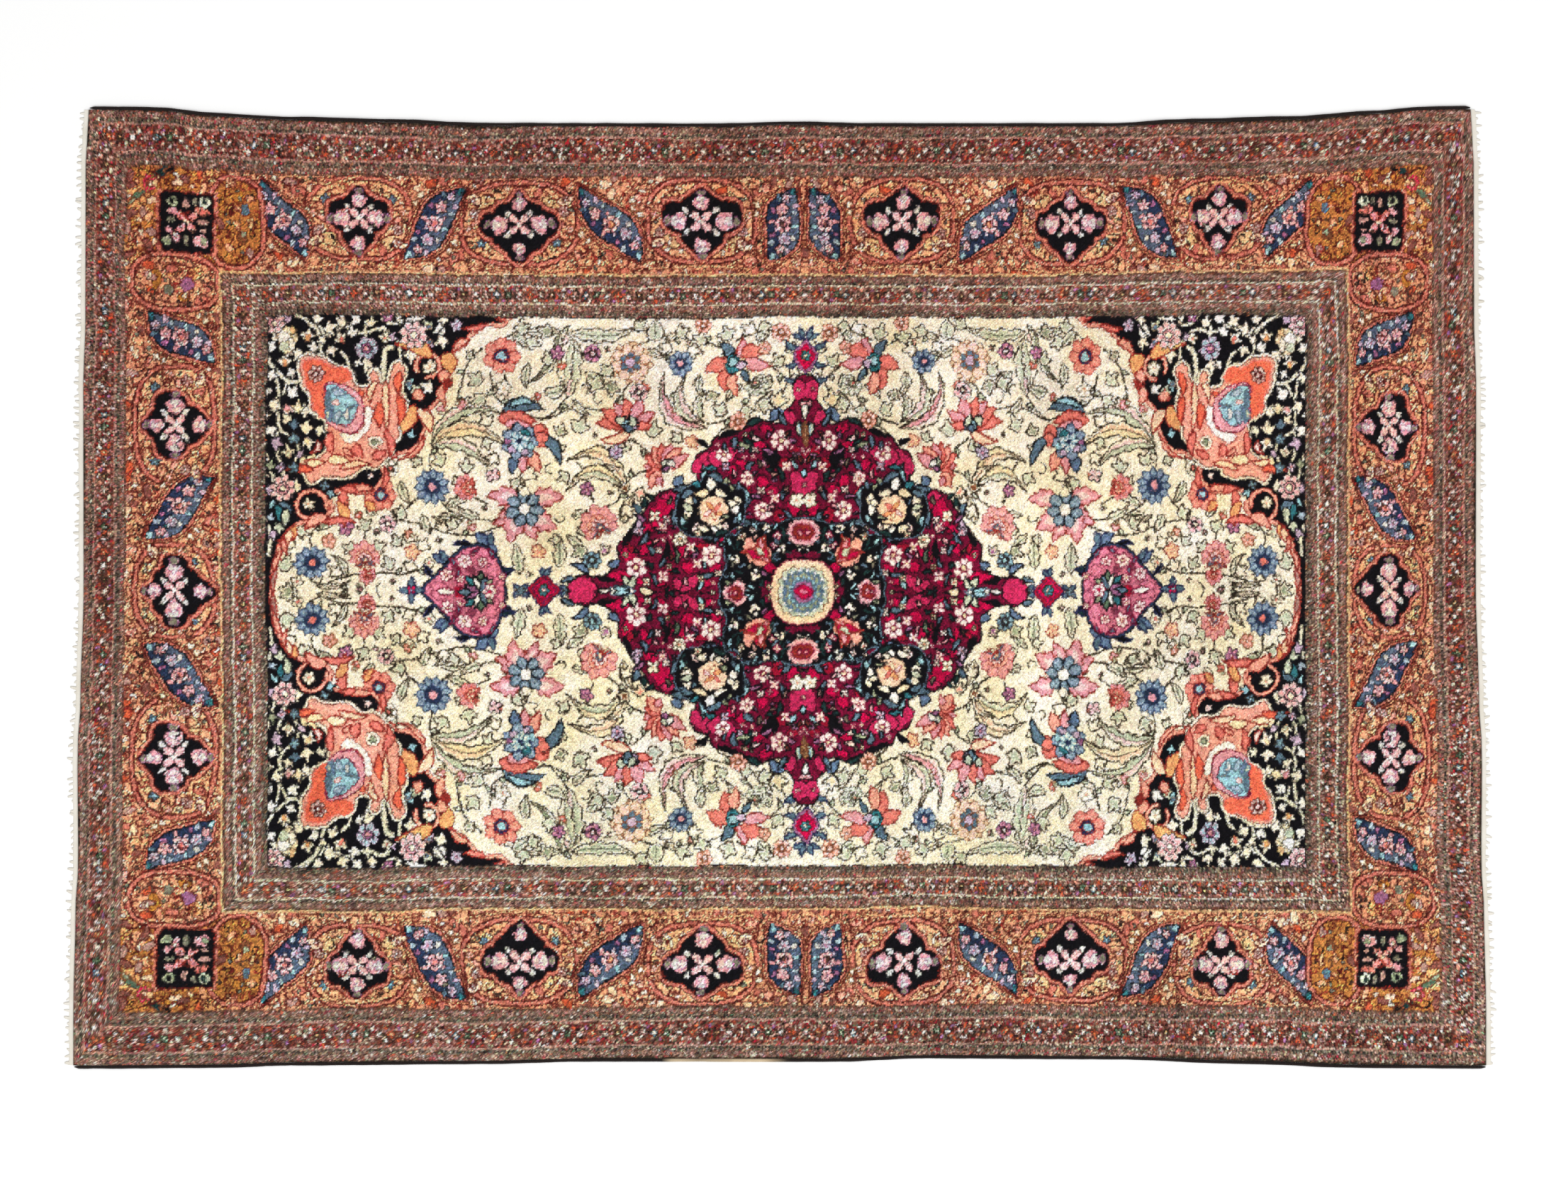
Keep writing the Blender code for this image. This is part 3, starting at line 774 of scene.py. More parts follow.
# black roundel on each diagonal, and the cream split leaves round the rose in it
roundelEdge = [(88, 148), (86, 128), (88, 104), (102, 92), (116, 84), (140, 80), (166, 81), (180, 92),
               (186, 112), (184, 134), (172, 150), (152, 158), (140, 168), (126, 166), (118, 156), (104, 154)]
roundelLeaves = [
    (135, 147, 22, 12, 90, 0, "milk"), (140, 148, 22, 9, 340, -2, "straw"),
    (130, 148, 20, 9, 200, 2, "cream"), (166, 126, 17, 11, 80, -2, "cream"),
    (164, 124, 18, 12, 285, 3, "cream"), (162, 120, 18, 8, 20, 0, "celadon"),
    (172, 112, 15, 8, 280, 0, "sage"), (102, 124, 18, 11, 96, 2, "cream"),
    (104, 128, 17, 10, 262, -2, "milk"), (112, 128, 14, 8, 170, 0, "cream"),
    (150, 98, 16, 9, 320, 2, "blush"), (140, 88, 18, 9, 20, 2, "cream"), (136, 96, 17, 9, 230, -2, "milk"),
    (118, 92, 15, 7, 20, 2, "cream"), (150, 152, 16, 8, 20, 0, "teal"), (176, 96, 14, 7, 70, 2, "mist"),
    (98, 100, 16, 7, 110, 0, "mist"), (96, 148, 12, 6, 100), (118, 158, 26, 8, 20, 4),
    (160, 146, 22, 8, 330, 3), (110, 88, 24, 7, 340, 2, "pine"),
]


# a quarter's outline carried round all four
def mirrored(points):
    near = [(a, -c) for a, c in points[::-1] if c > 0]
    right = points + near
    return right + [(-a, c) for a, c in right[::-1] if a > 0]


# ground, patches, leaves and flowers, then the lotus, the roundel and its rose
def drawMedallion():
    panel(mirrored(medallionEdge), [(-1.2, "night"), (1.6, "wine")])
    each(blob, medallionPatches)
    each(blade, medallionLeaves)
    for along, across, size, petals, dyes in medallionFlowers:
        rosette(along, across, size, petals, dyes, 0, 30 if petals == 6 else 45, 0.34)
    # lotus and its leaves towards each end, bud towards each side
    each(blade, [(256, 4, 22, 11, 62, 3, "celadon"), (256, 4, 22, 11, 118, 3, "celadon")])
    blade(284, 0, 40, 15, 180, 0, "milk", "slate")
    blade(276, 4, 22, 9, 186, 0, "mist")
    leaf(238, 0, 20, 14, 180, 0, 0, "straw", "celadon", "night", False)
    blade(300, 0, 20, 8, 180, 0, "milk")
    blade(0, 272, 24, 11, 270, 0, "milk")
    for aim in (236, 262):
        leaf(8, 246, 22, 9, aim, 3, 0, "mist", "celadon", "night", False)
    leaf(0, 246, 34, 10, 270, 0, 0, "straw", "brown", "brown", False)
    panel(roundelEdge, [(-2.0, "slate"), (-0.4, "night")])
    for along, across, length, width, *rest in roundelLeaves:
        blade(along, across, length * 1.1, width * 1.4, *rest)
    # peach rose of seven round petals
    spot = Spot(132, 119, 25, 20)
    edge = 21.5 - 1.6 + 1.6 * np.abs(np.cos(3.5 * spot.angle))
    spot.disc(edge + 1.6, "night")
    spot.disc(edge, "peach")
    each(blob, [(137, 125, 8, 4, 40, "orange"), (126, 124, 7, 3.5, 130, "coral"),
                (132, 112, 8, 4, 250, "straw"), (124, 114, 7, 3.5, 200, "orange"),
                (141, 115, 7, 3.5, 320, "blush")], line="brick", inkMm=1.0)


# more leaflets over what is left bare of the crimson, once the flowers are in
def medallionFiller():
    def draw(along, across, aim, kind, share):
        if kind < 9:
            dye = ("slate", "garnet", "pine", "mist", "rose", "umber", "mauve", "dusk", "taupe")[kind]
            length = 9 + 7 * share
            blade(along, across, length, length * 0.5, aim, 2, dye)
        else:
            rosette(along, across, 4.0, 4, "snow" if kind < 11 else "cream", turn=aim)
    dark, bright = ["wine"], ["crimson", "raspberry", "madder"]
    for pitch, reach, seed, grounds in [(9, 4.6, 9, dark), (7.5, 3.4, 19, dark), (11, 5.5, 29, bright)]:
        strew(((2, 2), (300, 300)), pitch, reach, seed, grounds, draw)


# stems, leaflets and knots of wool over what is left bare of the black middle
def middleFiller():
    def draw(along, across, aim, kind, share):
        if kind < 3:
            stem(curl(along, across, (2, 8), (aim, aim + 190), 8), 2.2, ("pine", "slate", "taupe")[kind])
        elif kind < 9:
            dye = ("slate", "dusk", "mist", "mauve", "sage", "pewter")[kind - 3]
            blade(along, across, 12 + 5 * share, 7.5, aim, 2, dye)
        else:
            rosette(along, across, 5.5, 4, ("cream", "rosePale", "snow")[kind - 9], turn=aim)
    for pitch, reach, seed in [(11, 5.5, 41), (9, 4.2, 42)]:
        strew(((2, 2), (184, 166)), pitch, reach, seed, ["night"], draw)


# a quarter of the black middle's edge
middleEdge = [(0, 108), (22, 106), (40, 99), (62, 101), (86, 98), (98, 84), (114, 82), (117, 62), (114, 40),
              (118, 28), (124, 14), (122, 0)]


# black middle with tulips, buds and the round boss
def drawMiddle():
    panel(mirrored(middleEdge), [(-1.8, "night"), (-0.6, "slate"), (1.2, "night")])
    blob(48, 34, 15, 7, 40, "crimson", "wine")
    blob(54, 6, 9, 13, 0, "wine")
    blob(14, 54, 16, 7, 0, "wine")
    for points in ([(45, 45), (62, 56), (84, 76)], [(20, 56), (30, 62), (34, 80), (30, 96)],
                   [(88, 60), (104, 66), (108, 80)]):
        stem(points, 2.6, "pine")
    each(blade, [(30, 78, 22, 8, 80, 2, "pine"), (24, 70, 18, 8, 120, 2), (88, 24, 20, 8, 20, 2, "pine"),
                 (94, 62, 20, 8, 70, 2, "pine"), (60, 84, 16, 8, 120, 2), (106, 66, 16, 8, 60, 2, "mist"),
                 (84, 40, 16, 8, 330, 2), (58, 20, 14, 8, 270, 2, "pine"), (112, 46, 14, 8, 100, 2, "mist")])
    each(bud, [(102, 48, 10, 200), (34, 63, 10, 150), (53, 92, 9.5, 60), (70, 27, 11, 280), (6, 66, 8, 100),
               (92, 92, 6, 40)], petal="cream", cup="milk", line="night")
    # tulip that opens away from the boss
    blob(68, 58, 25, 18, 50, "salmon")
    each(blade, [(50, 44, 40, 13, 80, -7, "peach"), (50, 42, 44, 13, 20, 7, "rose"),
                 (54, 48, 34, 14, 62, 0, "crimson"), (62, 50, 24, 12, 20, 0, "crimson"),
                 (60, 58, 22, 10, 80, 0, "rose"), (58, 52, 18, 11, 45, 0, "celadon")], line="brick")
    for along, across, size in [(98, 0, 19), (5, 87, 19)]:
        spot = Spot(along, across, size + 4)
        wave = 0.95 + 0.05 * np.cos(11 * spot.angle)
        for reach, dye in [(size + 1.6, "night"), (size, "rose"), (size * 0.66, "wine"),
                           (size * 0.56, "brick")]:
            spot.disc(reach * wave, dye)
        spot.dye(np.minimum(size * 0.88 - spot.radius, spot.radius - size * 0.78), "blush", 0.6)
        spot.disc(size * 0.26, "wine")
        spot.disc(size * 0.12, "rose")
    # boss: a rounded square, of power 2.8, in rings, some of them wavy
    spot = Spot(0, 0, 62)
    square = (np.abs(spot.forward) ** 2.8 + np.abs(spot.side) ** 2.8) ** (1 / 2.8)
    wave = 1.4 * np.cos(16 * spot.angle)
    for size, wavy, dye in [
            (50, 0, "night"), (48, 0, "wine"), (46, 0, "peach"), (40, 0, "straw"), (37, 1, "brown"),
            (35.5, 1, "celadon"), (30, 1, "slate"), (26, 1, "sage"), (21, 0, "slate"), (15, 0, "mauve")]:
        spot.dye(size + wavy * wave - square, dye)
    for aim in range(0, 360, 24):
        for reach, dye in [(32.5, "milk"), (27, "denim"), (20.5, "mist")]:
            a, c = reach * np.cos(np.radians(aim + reach)), reach * np.sin(np.radians(aim + reach))
            blob(a, c, 3.6, 2.4, aim + 60, dye, "slate", 0.6)
    blob(0, 0, 14, 11, 0, "crimson", "wine")
    blob(0, 0, 8, 4, 0, "magenta", "madder", 1.0)


# the corners of the field: black ground under cream vines, an orange cloud collar and a scrolling edge
cornerEdge = [
    (402, 404), (426, 396), (438, 385), (464, 383), (480, 371), (492, 357), (508, 346), (519, 330),
    (518, 300), (524, 283), (538, 269), (548, 256), (549, 236), (557, 217), (572, 204), (590, 200),
    (606, 194), (614, 184), (611, 166), (628, 146), (652, 141), (674, 145), (688, 138), (686, 120),
    (700, 104), (730, 98), (748, 88), (758, 69), (766, 44), (770, 10), (771, -24), (812, -24), (812, 424),
    (402, 424),
]
collarEdge = [
    (732, 337), (702, 339), (690, 331), (680, 326), (666, 324), (657, 314), (654, 301), (647, 295),
    (636, 295), (629, 300), (632, 312), (627, 320), (619, 314), (616, 302), (608, 298), (603, 312),
    (599, 326), (590, 331), (581, 325), (579, 316), (584, 304), (585, 288), (580, 276), (581, 262),
    (590, 244), (589, 226), (599, 214), (600, 202), (613, 188), (624, 179), (636, 181), (648, 178),
    (656, 169), (668, 165), (684, 167), (700, 166), (716, 158), (724, 168), (727, 177), (718, 186),
    (704, 196), (694, 206), (694, 222), (692, 240), (696, 249), (708, 254), (717, 262), (718, 280),
    (726, 292), (731, 304),
]

# width and the points of each vine
cornerVines = [
    (3.4, [(766, 398), (745, 399), (728, 393), (712, 380), (704, 366), (702, 350), (700, 340)]),
    (3.6, [(784, 380), (783, 350), (778, 330), (766, 315), (750, 303), (738, 302)]),
    (3.2, [(768, 306), (765, 288), (764, 266), (765, 246), (760, 234), (750, 227)]),
    (3.0, [(764, 232), (766, 212), (764, 196), (757, 180), (757, 168)]),
    (3.0, [(704, 380), (696, 370), (684, 372), (676, 380), (662, 381), (648, 374), (636, 373)]),
    (3.2, [(642, 374), (632, 374), (620, 379), (610, 378), (600, 370), (590, 358), (588, 340), (586, 332)]),
    (3.0, [(616, 400), (608, 388), (596, 386), (586, 388)]), (3.0, [(636, 366), (637, 380), (628, 392)]),
    (5.6, [(600, 352), (609, 346), (613, 322), (611, 298)]), (3.4, [(674, 346), (666, 338), (662, 326)]),
    (3.2, [(780, 200), (775, 180), (770, 162)]), (3.0, [(738, 302), (752, 300), (758, 286)]),
    (3.2, [(778, 96), (774, 74), (776, 52)]), (2.8, [(740, 226), (736, 206), (740, 190), (744, 178)]),
]

# along, across, size, petals, dyes
cornerFlowers = [
    (772, 388, 17, 8, "rosePale"), (757, 152, 19, 8, "rosePale"), (569, 371, 21, 8, "rosePale"),
    (636, 351, 17, 6, "lilac"), (709, 314, 12.5, 7, "duskBloom"), (742, 222, 8, 5, "slate"),
    (742, 181, 8, 5, "slate"), (697, 154, 7, 4, "slate"), (720, 128, 9, 5, "cream"),
    (545, 325, 10, 5, "cream"), (606, 396, 8, 5, "mauve"), (506, 386, 9, 5, "lilac"),
    (608, 366, 8, 4, "cream"), (760, 182, 7, 4, "lilac"),
]

# three-lobed leaves and buds of the black ground: along, across, size, pointing, wool, and a heart's wool
cornerIvies = [
    (722, 366, 12, 100, "cream", "orange"), (712, 352, 10, 20, "milk"), (688, 350, 11, 250, "cream"),
    (674, 363, 12, 60, "cream", "coral"), (656, 372, 11, 80, "milk"), (673, 387, 12, 110, "cream"),
    (692, 378, 12, 160, "cream"), (708, 391, 11, 100, "cream"), (650, 391, 12, 40, "milk"),
    (630, 386, 10, 90, "cream"), (637, 329, 13, 270, "cream"), (650, 330, 8, 200, "milk"),
    (572, 344, 13, 270, "cream"), (547, 382, 11, 60, "celadon", "slate"),
    (546, 360, 11, 290, "lilac", "slate"), (527, 376, 12, 30, "milk"), (526, 362, 12, 340, "cream"),
    (600, 366, 8, 120, "lilac"), (756, 329, 12, 90, "cream", "orange"), (745, 316, 9, 330, "milk"),
    (777, 312, 11, 200, "milk"), (746, 286, 12, 130, "milk"), (724, 262, 13, 350, "cream"),
    (738, 264, 12, 100, "straw"), (752, 266, 12, 280, "blush", "rose"), (771, 270, 12, 200, "cream"),
    (752, 248, 10, 60, "cream"), (776, 237, 12, 240, "milk"), (742, 240, 11, 90, "slate"),
    (724, 234, 13, 100, "cream"), (722, 218, 13, 250, "milk", "straw"), (769, 217, 12, 200, "lilac"),
    (750, 200, 12, 80, "cream", "celadon"), (774, 184, 10, 100, "sage"), (736, 153, 13, 10, "cream"),
    (778, 150, 9, 180, "lilac"), (751, 392, 9, 60, "lilac"), (735, 344, 12, 300, "cream"),
    (776, 352, 10, 120, "milk"), (768, 366, 8, 60, "cream"), (589, 392, 9, 110, "cream"),
    (560, 394, 8, 60, "milk"), (575, 300, 12, 200, "mist", "slate"), (562, 292, 11, 340, "celadon"),
    (546, 294, 12, 30, "milk"), (560, 284, 8, 260, "lilac"), (770, 86, 10, 260, "lilac"),
    (733, 200, 9, 200, "lilac"), (728, 190, 12, 180, "straw"), (712, 194, 11, 10, "straw"),
    (690, 142, 8, 200, "mist"), (752, 344, 9, 200, "cream"), (700, 362, 8, 40, "cream"),
    (782, 256, 7, 180, "cream"),
]

# split leaves of the scrolling edge, then of the collar: along, across, length, width, pointing, bend, wool
edgeLeaves = [
    (540, 340, 58, 21, 18, 6, "orange"), (526, 346, 34, 24, 250, -4, "orange"),
    (524, 322, 24, 17, 262, 2, "salmon"), (514, 308, 21, 12, 305, 0, "brick"),
    (528, 300, 32, 14, 258, 4, "salmon"), (560, 276, 18, 16, 80, 0, "salmon"),
    (566, 268, 50, 24, 312, -6, "orange"), (562, 264, 40, 18, 240, -5, "peach"),
    (552, 226, 50, 8, 318, -7, "salmon"), (592, 202, 20, 8, 340, -3, "salmon"),
    (614, 150, 30, 10, 96, 3, "coral"), (628, 149, 44, 12, 352, 4, "salmon"),
    (650, 144, 28, 11, 8, 3, "coral"), (672, 146, 22, 14, 250, 3, "coral"),
    (680, 130, 38, 16, 254, -5, "orange"), (694, 110, 38, 17, 330, 4, "salmon"),
    (700, 100, 46, 12, 182, -5, "coral"), (738, 98, 34, 15, 318, -5, "orange"),
    (746, 92, 26, 12, 290, 0, "peach"), (754, 80, 26, 8, 262, 4, "salmon"),
    (759, 62, 40, 9, 282, 4, "salmon"), (765, 34, 38, 8, 276, 3, "dusk"),
    (488, 364, 32, 11, 322, 5, "salmon"), (462, 386, 34, 9, 352, -3, "coral"),
    (436, 392, 26, 12, 30, 3, "coral"), (640, 132, 22, 13, 230, 0, "orange"),
]
collarLeaves = [
    (608, 304, 76, 12, 268, 3, "peach"), (588, 318, 34, 13, 272, 3, "flame"),
    (590, 284, 44, 13, 268, -3, "flame"), (618, 274, 40, 14, 268, 2, "flame"),
    (609, 232, 38, 13, 262, -4, "coral"), (622, 304, 34, 11, 286, 4, "peach"),
    (640, 290, 24, 12, 300, 2, "flame"), (712, 176, 44, 11, 2, 3, "flame"),
    (726, 190, 30, 12, 182, 3, "straw"), (694, 190, 34, 16, 184, -3, "straw"),
    (676, 178, 44, 11, 172, -4, "peach"), (630, 192, 24, 13, 150, 0, "coral"),
    (654, 214, 22, 15, 240, 3, "coral"), (688, 232, 34, 12, 268, 3, "coral"),
    (706, 220, 22, 9, 300, -5, "blush"), (672, 208, 20, 8, 220, 0, "salmon"),
]
# the red shoulder, the cream crescent, and both outlines of the drop
collarParts = [
    ([
        (727, 332), (700, 333), (685, 323), (667, 324), (658, 314), (660, 303), (676, 298), (697, 298),
        (697, 279), (695, 253), (703, 252), (715, 264), (717, 279), (725, 303),
    ], [(-0.6, "coral"), (1.2, "flame")]),
    ([
        (673, 225), (664, 216), (653, 220), (641, 229), (633, 239), (629, 253), (630, 266), (637, 266),
        (638, 253), (643, 237), (655, 229), (672, 228),
    ], [(-1.6, "brick"), (-0.2, "milk")]),
    ([
        (696, 298), (673, 298), (658, 292), (645, 282), (640, 267), (641, 250), (647, 238), (658, 231),
        (676, 233), (689, 241), (695, 253),
    ], [(-1.4, "wine"), (0.4, "rose")]),
    ([
        (695, 296), (683, 297), (670, 292), (658, 283), (649, 274), (650, 261), (656, 250), (666, 241),
        (680, 243), (691, 253), (694, 270),
    ], [(-1.2, "wine"), (0.6, "mist")]),
]


# ground, vines and leaves, the scrolling edge, then the collar and the flowers over them
def drawCorners():
    panel(cornerEdge, [(-1.2, "brick"), (0.3, "salmon"), (4.6, "brick"), (5.8, "night")])
    for width, points in cornerVines:
        stem(points, width * 1.2, "bone")
    for along, across, size, aim, dye, *heart in cornerIvies:
        ivy(along, across, size, aim, dye, "night")
        if heart:
            blob(along, across, size * 0.42, size * 0.32, aim, heart[0], "brown", 0.8)
    # large cream flower near the corner, the slate tulip and the half flower at the far edge
    each(blob, [(752, 362, 15, 20, 0, "straw"), (757, 367, 9, 9, 0, "milk"), (757, 353, 8, 8, 0, "celadon"),
                (745, 356, 5, 12, 0, "cream"), (744, 376, 5, 7, 0, "sand")], line="olive", inkMm=1.0)
    each(blade, [(756, 134, 40, 24, 268), (764, 128, 26, 13, 262, 0, "teal"),
                 (752, 122, 28, 13, 274, 0, "celadon"), (768, 136, 18, 9, 300, 0, "mist"),
                 (548, 397, 40, 9, 354, 0, "milk"), (506, 398, 34, 8, 2, 0, "blush"),
                 (522, 392, 30, 10, 310, 0, "milk"), (520, 384, 12, 7, 40, 0, "lilac")])
    for along, across, size, start in [(548, 327, 17, 330), (716, 126, 21, 250)]:
        ring = curl(along, across, (size, size * 1.02), (start, start + 300))
        stem(ring, 6.6, "brick")
        stem(ring, 4.2, "salmon")
    each(blade, edgeLeaves, line="brick")
    # cloud collar, redder towards the corner
    panel(collarEdge, [(-4.2, "night"), (-3.2, "cream"), (0.0, "maroon"), (1.5, "salmon")])
    each(blade, collarLeaves, line="brick")
    each(panel, collarParts)
    each(blade, [(692, 292, 42, 9, 264, 2), (686, 292, 22, 10, 200, 2, "haze"),
                 (684, 268, 24, 8, 280, 2, "denim"), (674, 262, 20, 11, 285, 2, "haze"),
                 (664, 264, 18, 9, 265, 2, "pearl"), (668, 267, 22, 5, 168, 2, "pewter"),
                 (690, 262, 14, 7, 280, 2, "celadon")], line="slate")
    blob(680, 274, 6, 4, 20, "blush", "brick", 0.9)
    blob(626, 216, 11, 11, 0, "cream", "brick")
    blob(626, 216, 5.5, 5.5, 0, "sage", "olive")
    each(rosette, cornerFlowers, turn=15)


# cream, celadon and lilac leaves in what is left bare of the black corners
def cornerFiller():
    fills = ("cream", "bone", "celadon", "pearl", "haze", "cream", "straw", "bone", "blush", "celadon",
             "mist", "milk")

    def draw(along, across, aim, kind, share):
        ivy(along, across, 6.5 + 3.5 * share, aim, fills[kind], "night")
    for pitch, reach, seed in [(15, 8.8, 3), (12.5, 7.6, 13)]:
        strew(((520, 4), (786, 396)), pitch, reach, seed, ["night"], draw)


# main border: black cartouches in rounded loops, blue leaves between them
# along, across, pointing, stretch sideways, loop half length, loop half height, outline
cartouches = [
    (649, 538, 90, 1.02, 75, 59, "lobed"), (415, 534, 270, 1.05, 84, 59, "pointed"),
    (149, 539, 90, 1.36, 78, 59, "lobed"), (914, 241, 0, 1.15, 86, 57, "lobed"),
    (914, 0, 180, 0.98, 66, 57, "pointed"),
]
# foot along, foot across, length, width, pointing
borderLeaves = [
    (725, 481, 128, 48, 60), (582, 481, 138, 50, 130), (238, 481, 138, 50, 50), (52, 482, 112, 52, 112),
    (858, 330, 119, 48, 37), (957, 76, 136, 48, 138),
]
# half outlines of the two cartouches, from the tip round one side; then pointing, reach and size of their
# arms, where the side arms reach as much farther as the cartouche is stretched
cartoucheHalves = {
    "lobed": [
        (47, 0), (39, 8), (31, 17), (27, 22), (24, 36), (14, 41), (0, 40), (-13, 33), (-18, 23), (-30, 20),
        (-40, 12), (-50, 3), (-53, 0),
    ],
    "pointed": [
        (57, 0), (40, 18), (28, 32), (20, 36), (15, 47), (0, 53), (-13, 48), (-16, 36), (-27, 27),
        (-31, 14), (-42, 5), (-47, 0),
    ],
}
cartoucheArms = {
    "lobed": [(0, 27, 12), (90, 24, 14), (180, 36, 12.5), (270, 24, 14)],
    "pointed": [(0, 37, 11), (90, 28, 14.5), (180, 30, 11.5), (270, 28, 14.5)],
}

# beads and blooms on a leaf: share of its length from the middle, share of its half width, size, wool; the
# beads come in pairs, turned half round the middle
leafBeads = [
    (0.44, 0.0, 6, 4, ("mist", "teal")), (0.38, -0.25, 4, 3, ("pewter", "mauve")),
    (0.28, 0.5, 6, 4, ("haze", "lilac")), (0.30, -0.5, 6, 3.4, ("lilac", "slate")),
    (0.02, 0.66, 7, 3.4, ("rose", "mist")), (0.19, 0.58, 5, 3.4, ("mauve", "haze")),
    (0.12, -0.62, 5, 4, ("pearl", "mauve")), (0.24, -0.1, 4, 4, ("teal", "pewter")),
    (0.10, 0.36, 4, 3, ("lilac", "rose")),
]
leafBlooms = [
    (0, 0, 12.5, "pinkNight"), (-0.18, 0.12, 9, "lilac"), (0.18, -0.12, 9, "pinkNight"),
    (-0.33, 0.1, 7, "pinkNight"), (0.33, -0.1, 7, "lilac"),
]

# middle, half length and half width of the black square in the border's corner
cornerSquare = (897, 526, 37, 40)


# local points turned and moved onto the chart
def placed(points, along, across, turn, stretch=1.0):
    p = np.asarray(points, float) * (1.0, stretch)
    c, s = np.cos(np.radians(turn)), np.sin(np.radians(turn))
    return np.stack([along + p[:, 0] * c - p[:, 1] * s, across + p[:, 0] * s + p[:, 1] * c], 1)


# rounded loop: a superellipse of power 2.6 about the cartouche
def drawLoop(along, across, turn, halfLength, halfHeight, fill="honey", power=2.6):
    t = np.linspace(0, 2 * np.pi, 28, endpoint=False)
    c, s = (np.sign(wave) * np.abs(wave) ** (2 / power) for wave in (np.cos(t), np.sin(t)))
    panel(placed(np.stack([halfHeight * c, halfLength * s], 1), along, across, turn),
          [(-6.0, "maroon"), (-3.0, "shell"), (1.4, "maroon"), (4.6, fill)])


# black cartouche: a pale bloom in each arm with a bead past it, four bars between them and a rose cross
def drawCartouche(along, across, turn, stretch, shape):
    # a point so far from the middle, wider sideways
    def outwards(reach, aim, wide):
        away = (reach * np.cos(np.radians(aim)), reach * wide * np.sin(np.radians(aim)))
        return placed([away], along, across, turn)[0]

    half = cartoucheHalves[shape]
    outline = placed(half + [(f, -s) for f, s in half[-2:0:-1]], along, across, turn, stretch)
    panel(outline, [(-9.5, "maroon"), (-7.4, "shell"), (-3.2, "maroon"), (-1.2, "night")])
    for aim, reach, size in cartoucheArms[shape]:
        reach = reach * (stretch if aim in (90, 270) else 1)
        for push, long, wide, dye in ((0, 0.9, 0.95, "rose"), (0.4, 0.4, 0.6, "pearl"),
                                      (-0.35, 0.4, 0.5, "blush"), (0.1, 0.25, 0.25, "milk"),
                                      (1.2, 0.35, 0.5, "pewter")):
            line = "night" if long > 0.5 else "mauve"
            blob(*outwards(reach + push * size, aim, 1), long * size, wide * size, turn + aim, dye, line, 0.9)
    for aim in (45, 135, 225, 315):
        blob(*outwards(22, aim, stretch), 6.6, 4.2, turn + aim, "pearl", "night", 0.7)
    spot = Spot(along, across, 21, turn + 45)
    petalRing(spot, ("night", "rose", "blush"), 4, 0.5, 19, 12)
    spot.disc(3.2, "milk")


# small things inside each loop, at both of its ends: forward, share of its half length, then what each is
def dressLoop(along, across, turn, halfLength):
    # a point of the loop: millimetres forward, a share of its half length sideways
    def inLoop(forward, sideways):
        return placed([(forward, sideways * halfLength)], along, across, turn)[0]

    for side in (-1, 1):
        for forward, share, length, width, aim, fill in [
                (-38, 0.42, 30, 20, 60, "sand"), (36, 0.34, 24, 12, 150, "coral"),
                (-30, 0.66, 26, 15, 110, "peach"), (14, 0.66, 30, 13, 80, "terracotta"),
                (40, 0.60, 20, 12, 200, "sand"), (-6, 0.62, 22, 10, 60, "salmon")]:
            blade(*inLoop(forward, side * share), length, width, turn + side * aim, 3, fill, "maroon")
        for forward, share, *flower in [(-16, 0.76, 9, 6, "duskBloom"), (28, 0.64, 7, 5, "slate"),
                                        (8, 0.88, 6, 4, "brown"), (-34, 0.80, 5, 4, "duskBloom")]:
            rosette(*inLoop(forward, side * share), *flower, turn=20)


# indigo leaf crowded with pale blooms inside wavy contours
def drawBorderLeaf(along, across, length, width, turn):
    c, s = np.cos(np.radians(turn)), np.sin(np.radians(turn))
    for past, wider, *dyed in ((8, 19, "honey", None, "maroon"), (4.5, 11, "shell", None, "maroon"),
                               (0, 0, "indigo", "dusky", "night")):
        at = (along - past * c, across - past * s)
        leaf(*at, length + 2 * past, width + wider, turn, 0, 0, *dyed, False, 6, None, 0.95)
    middle = (along + c * length / 2, across + s * length / 2)

    # a point by shares of length and half width, swaying as the leaf does
    def onLeaf(share, sideways):
        push = sideways * width / 2 + 6 * np.sin(2 * np.pi * (share + 0.5))
        return middle[0] + c * share * length - s * push, middle[1] + s * share * length + c * push

    for share, sideways, long, wide, dye in leafBeads:
        for sign in (-1, 1):
            at = onLeaf(sign * share, sign * sideways)
            blob(*at, long, wide, turn + sideways * 90, dye[sign > 0], "night", 0.8)
    for share, sideways, size, dyes in leafBlooms:
        rosette(*onLeaf(share, sideways), size, 5, dyes, turn=15)
    blob(*middle, 5, 4, turn, "coral", "rose", 1.0)
    for share, sideways, size in ((-0.12, 1.5, 6), (-0.02, 1.55, 5.4), (0.12, -1.5, 6), (0.02, -1.55, 5.4)):
        ivy(*onLeaf(share, sideways), size, turn + sideways * 60, "cream", "brown")


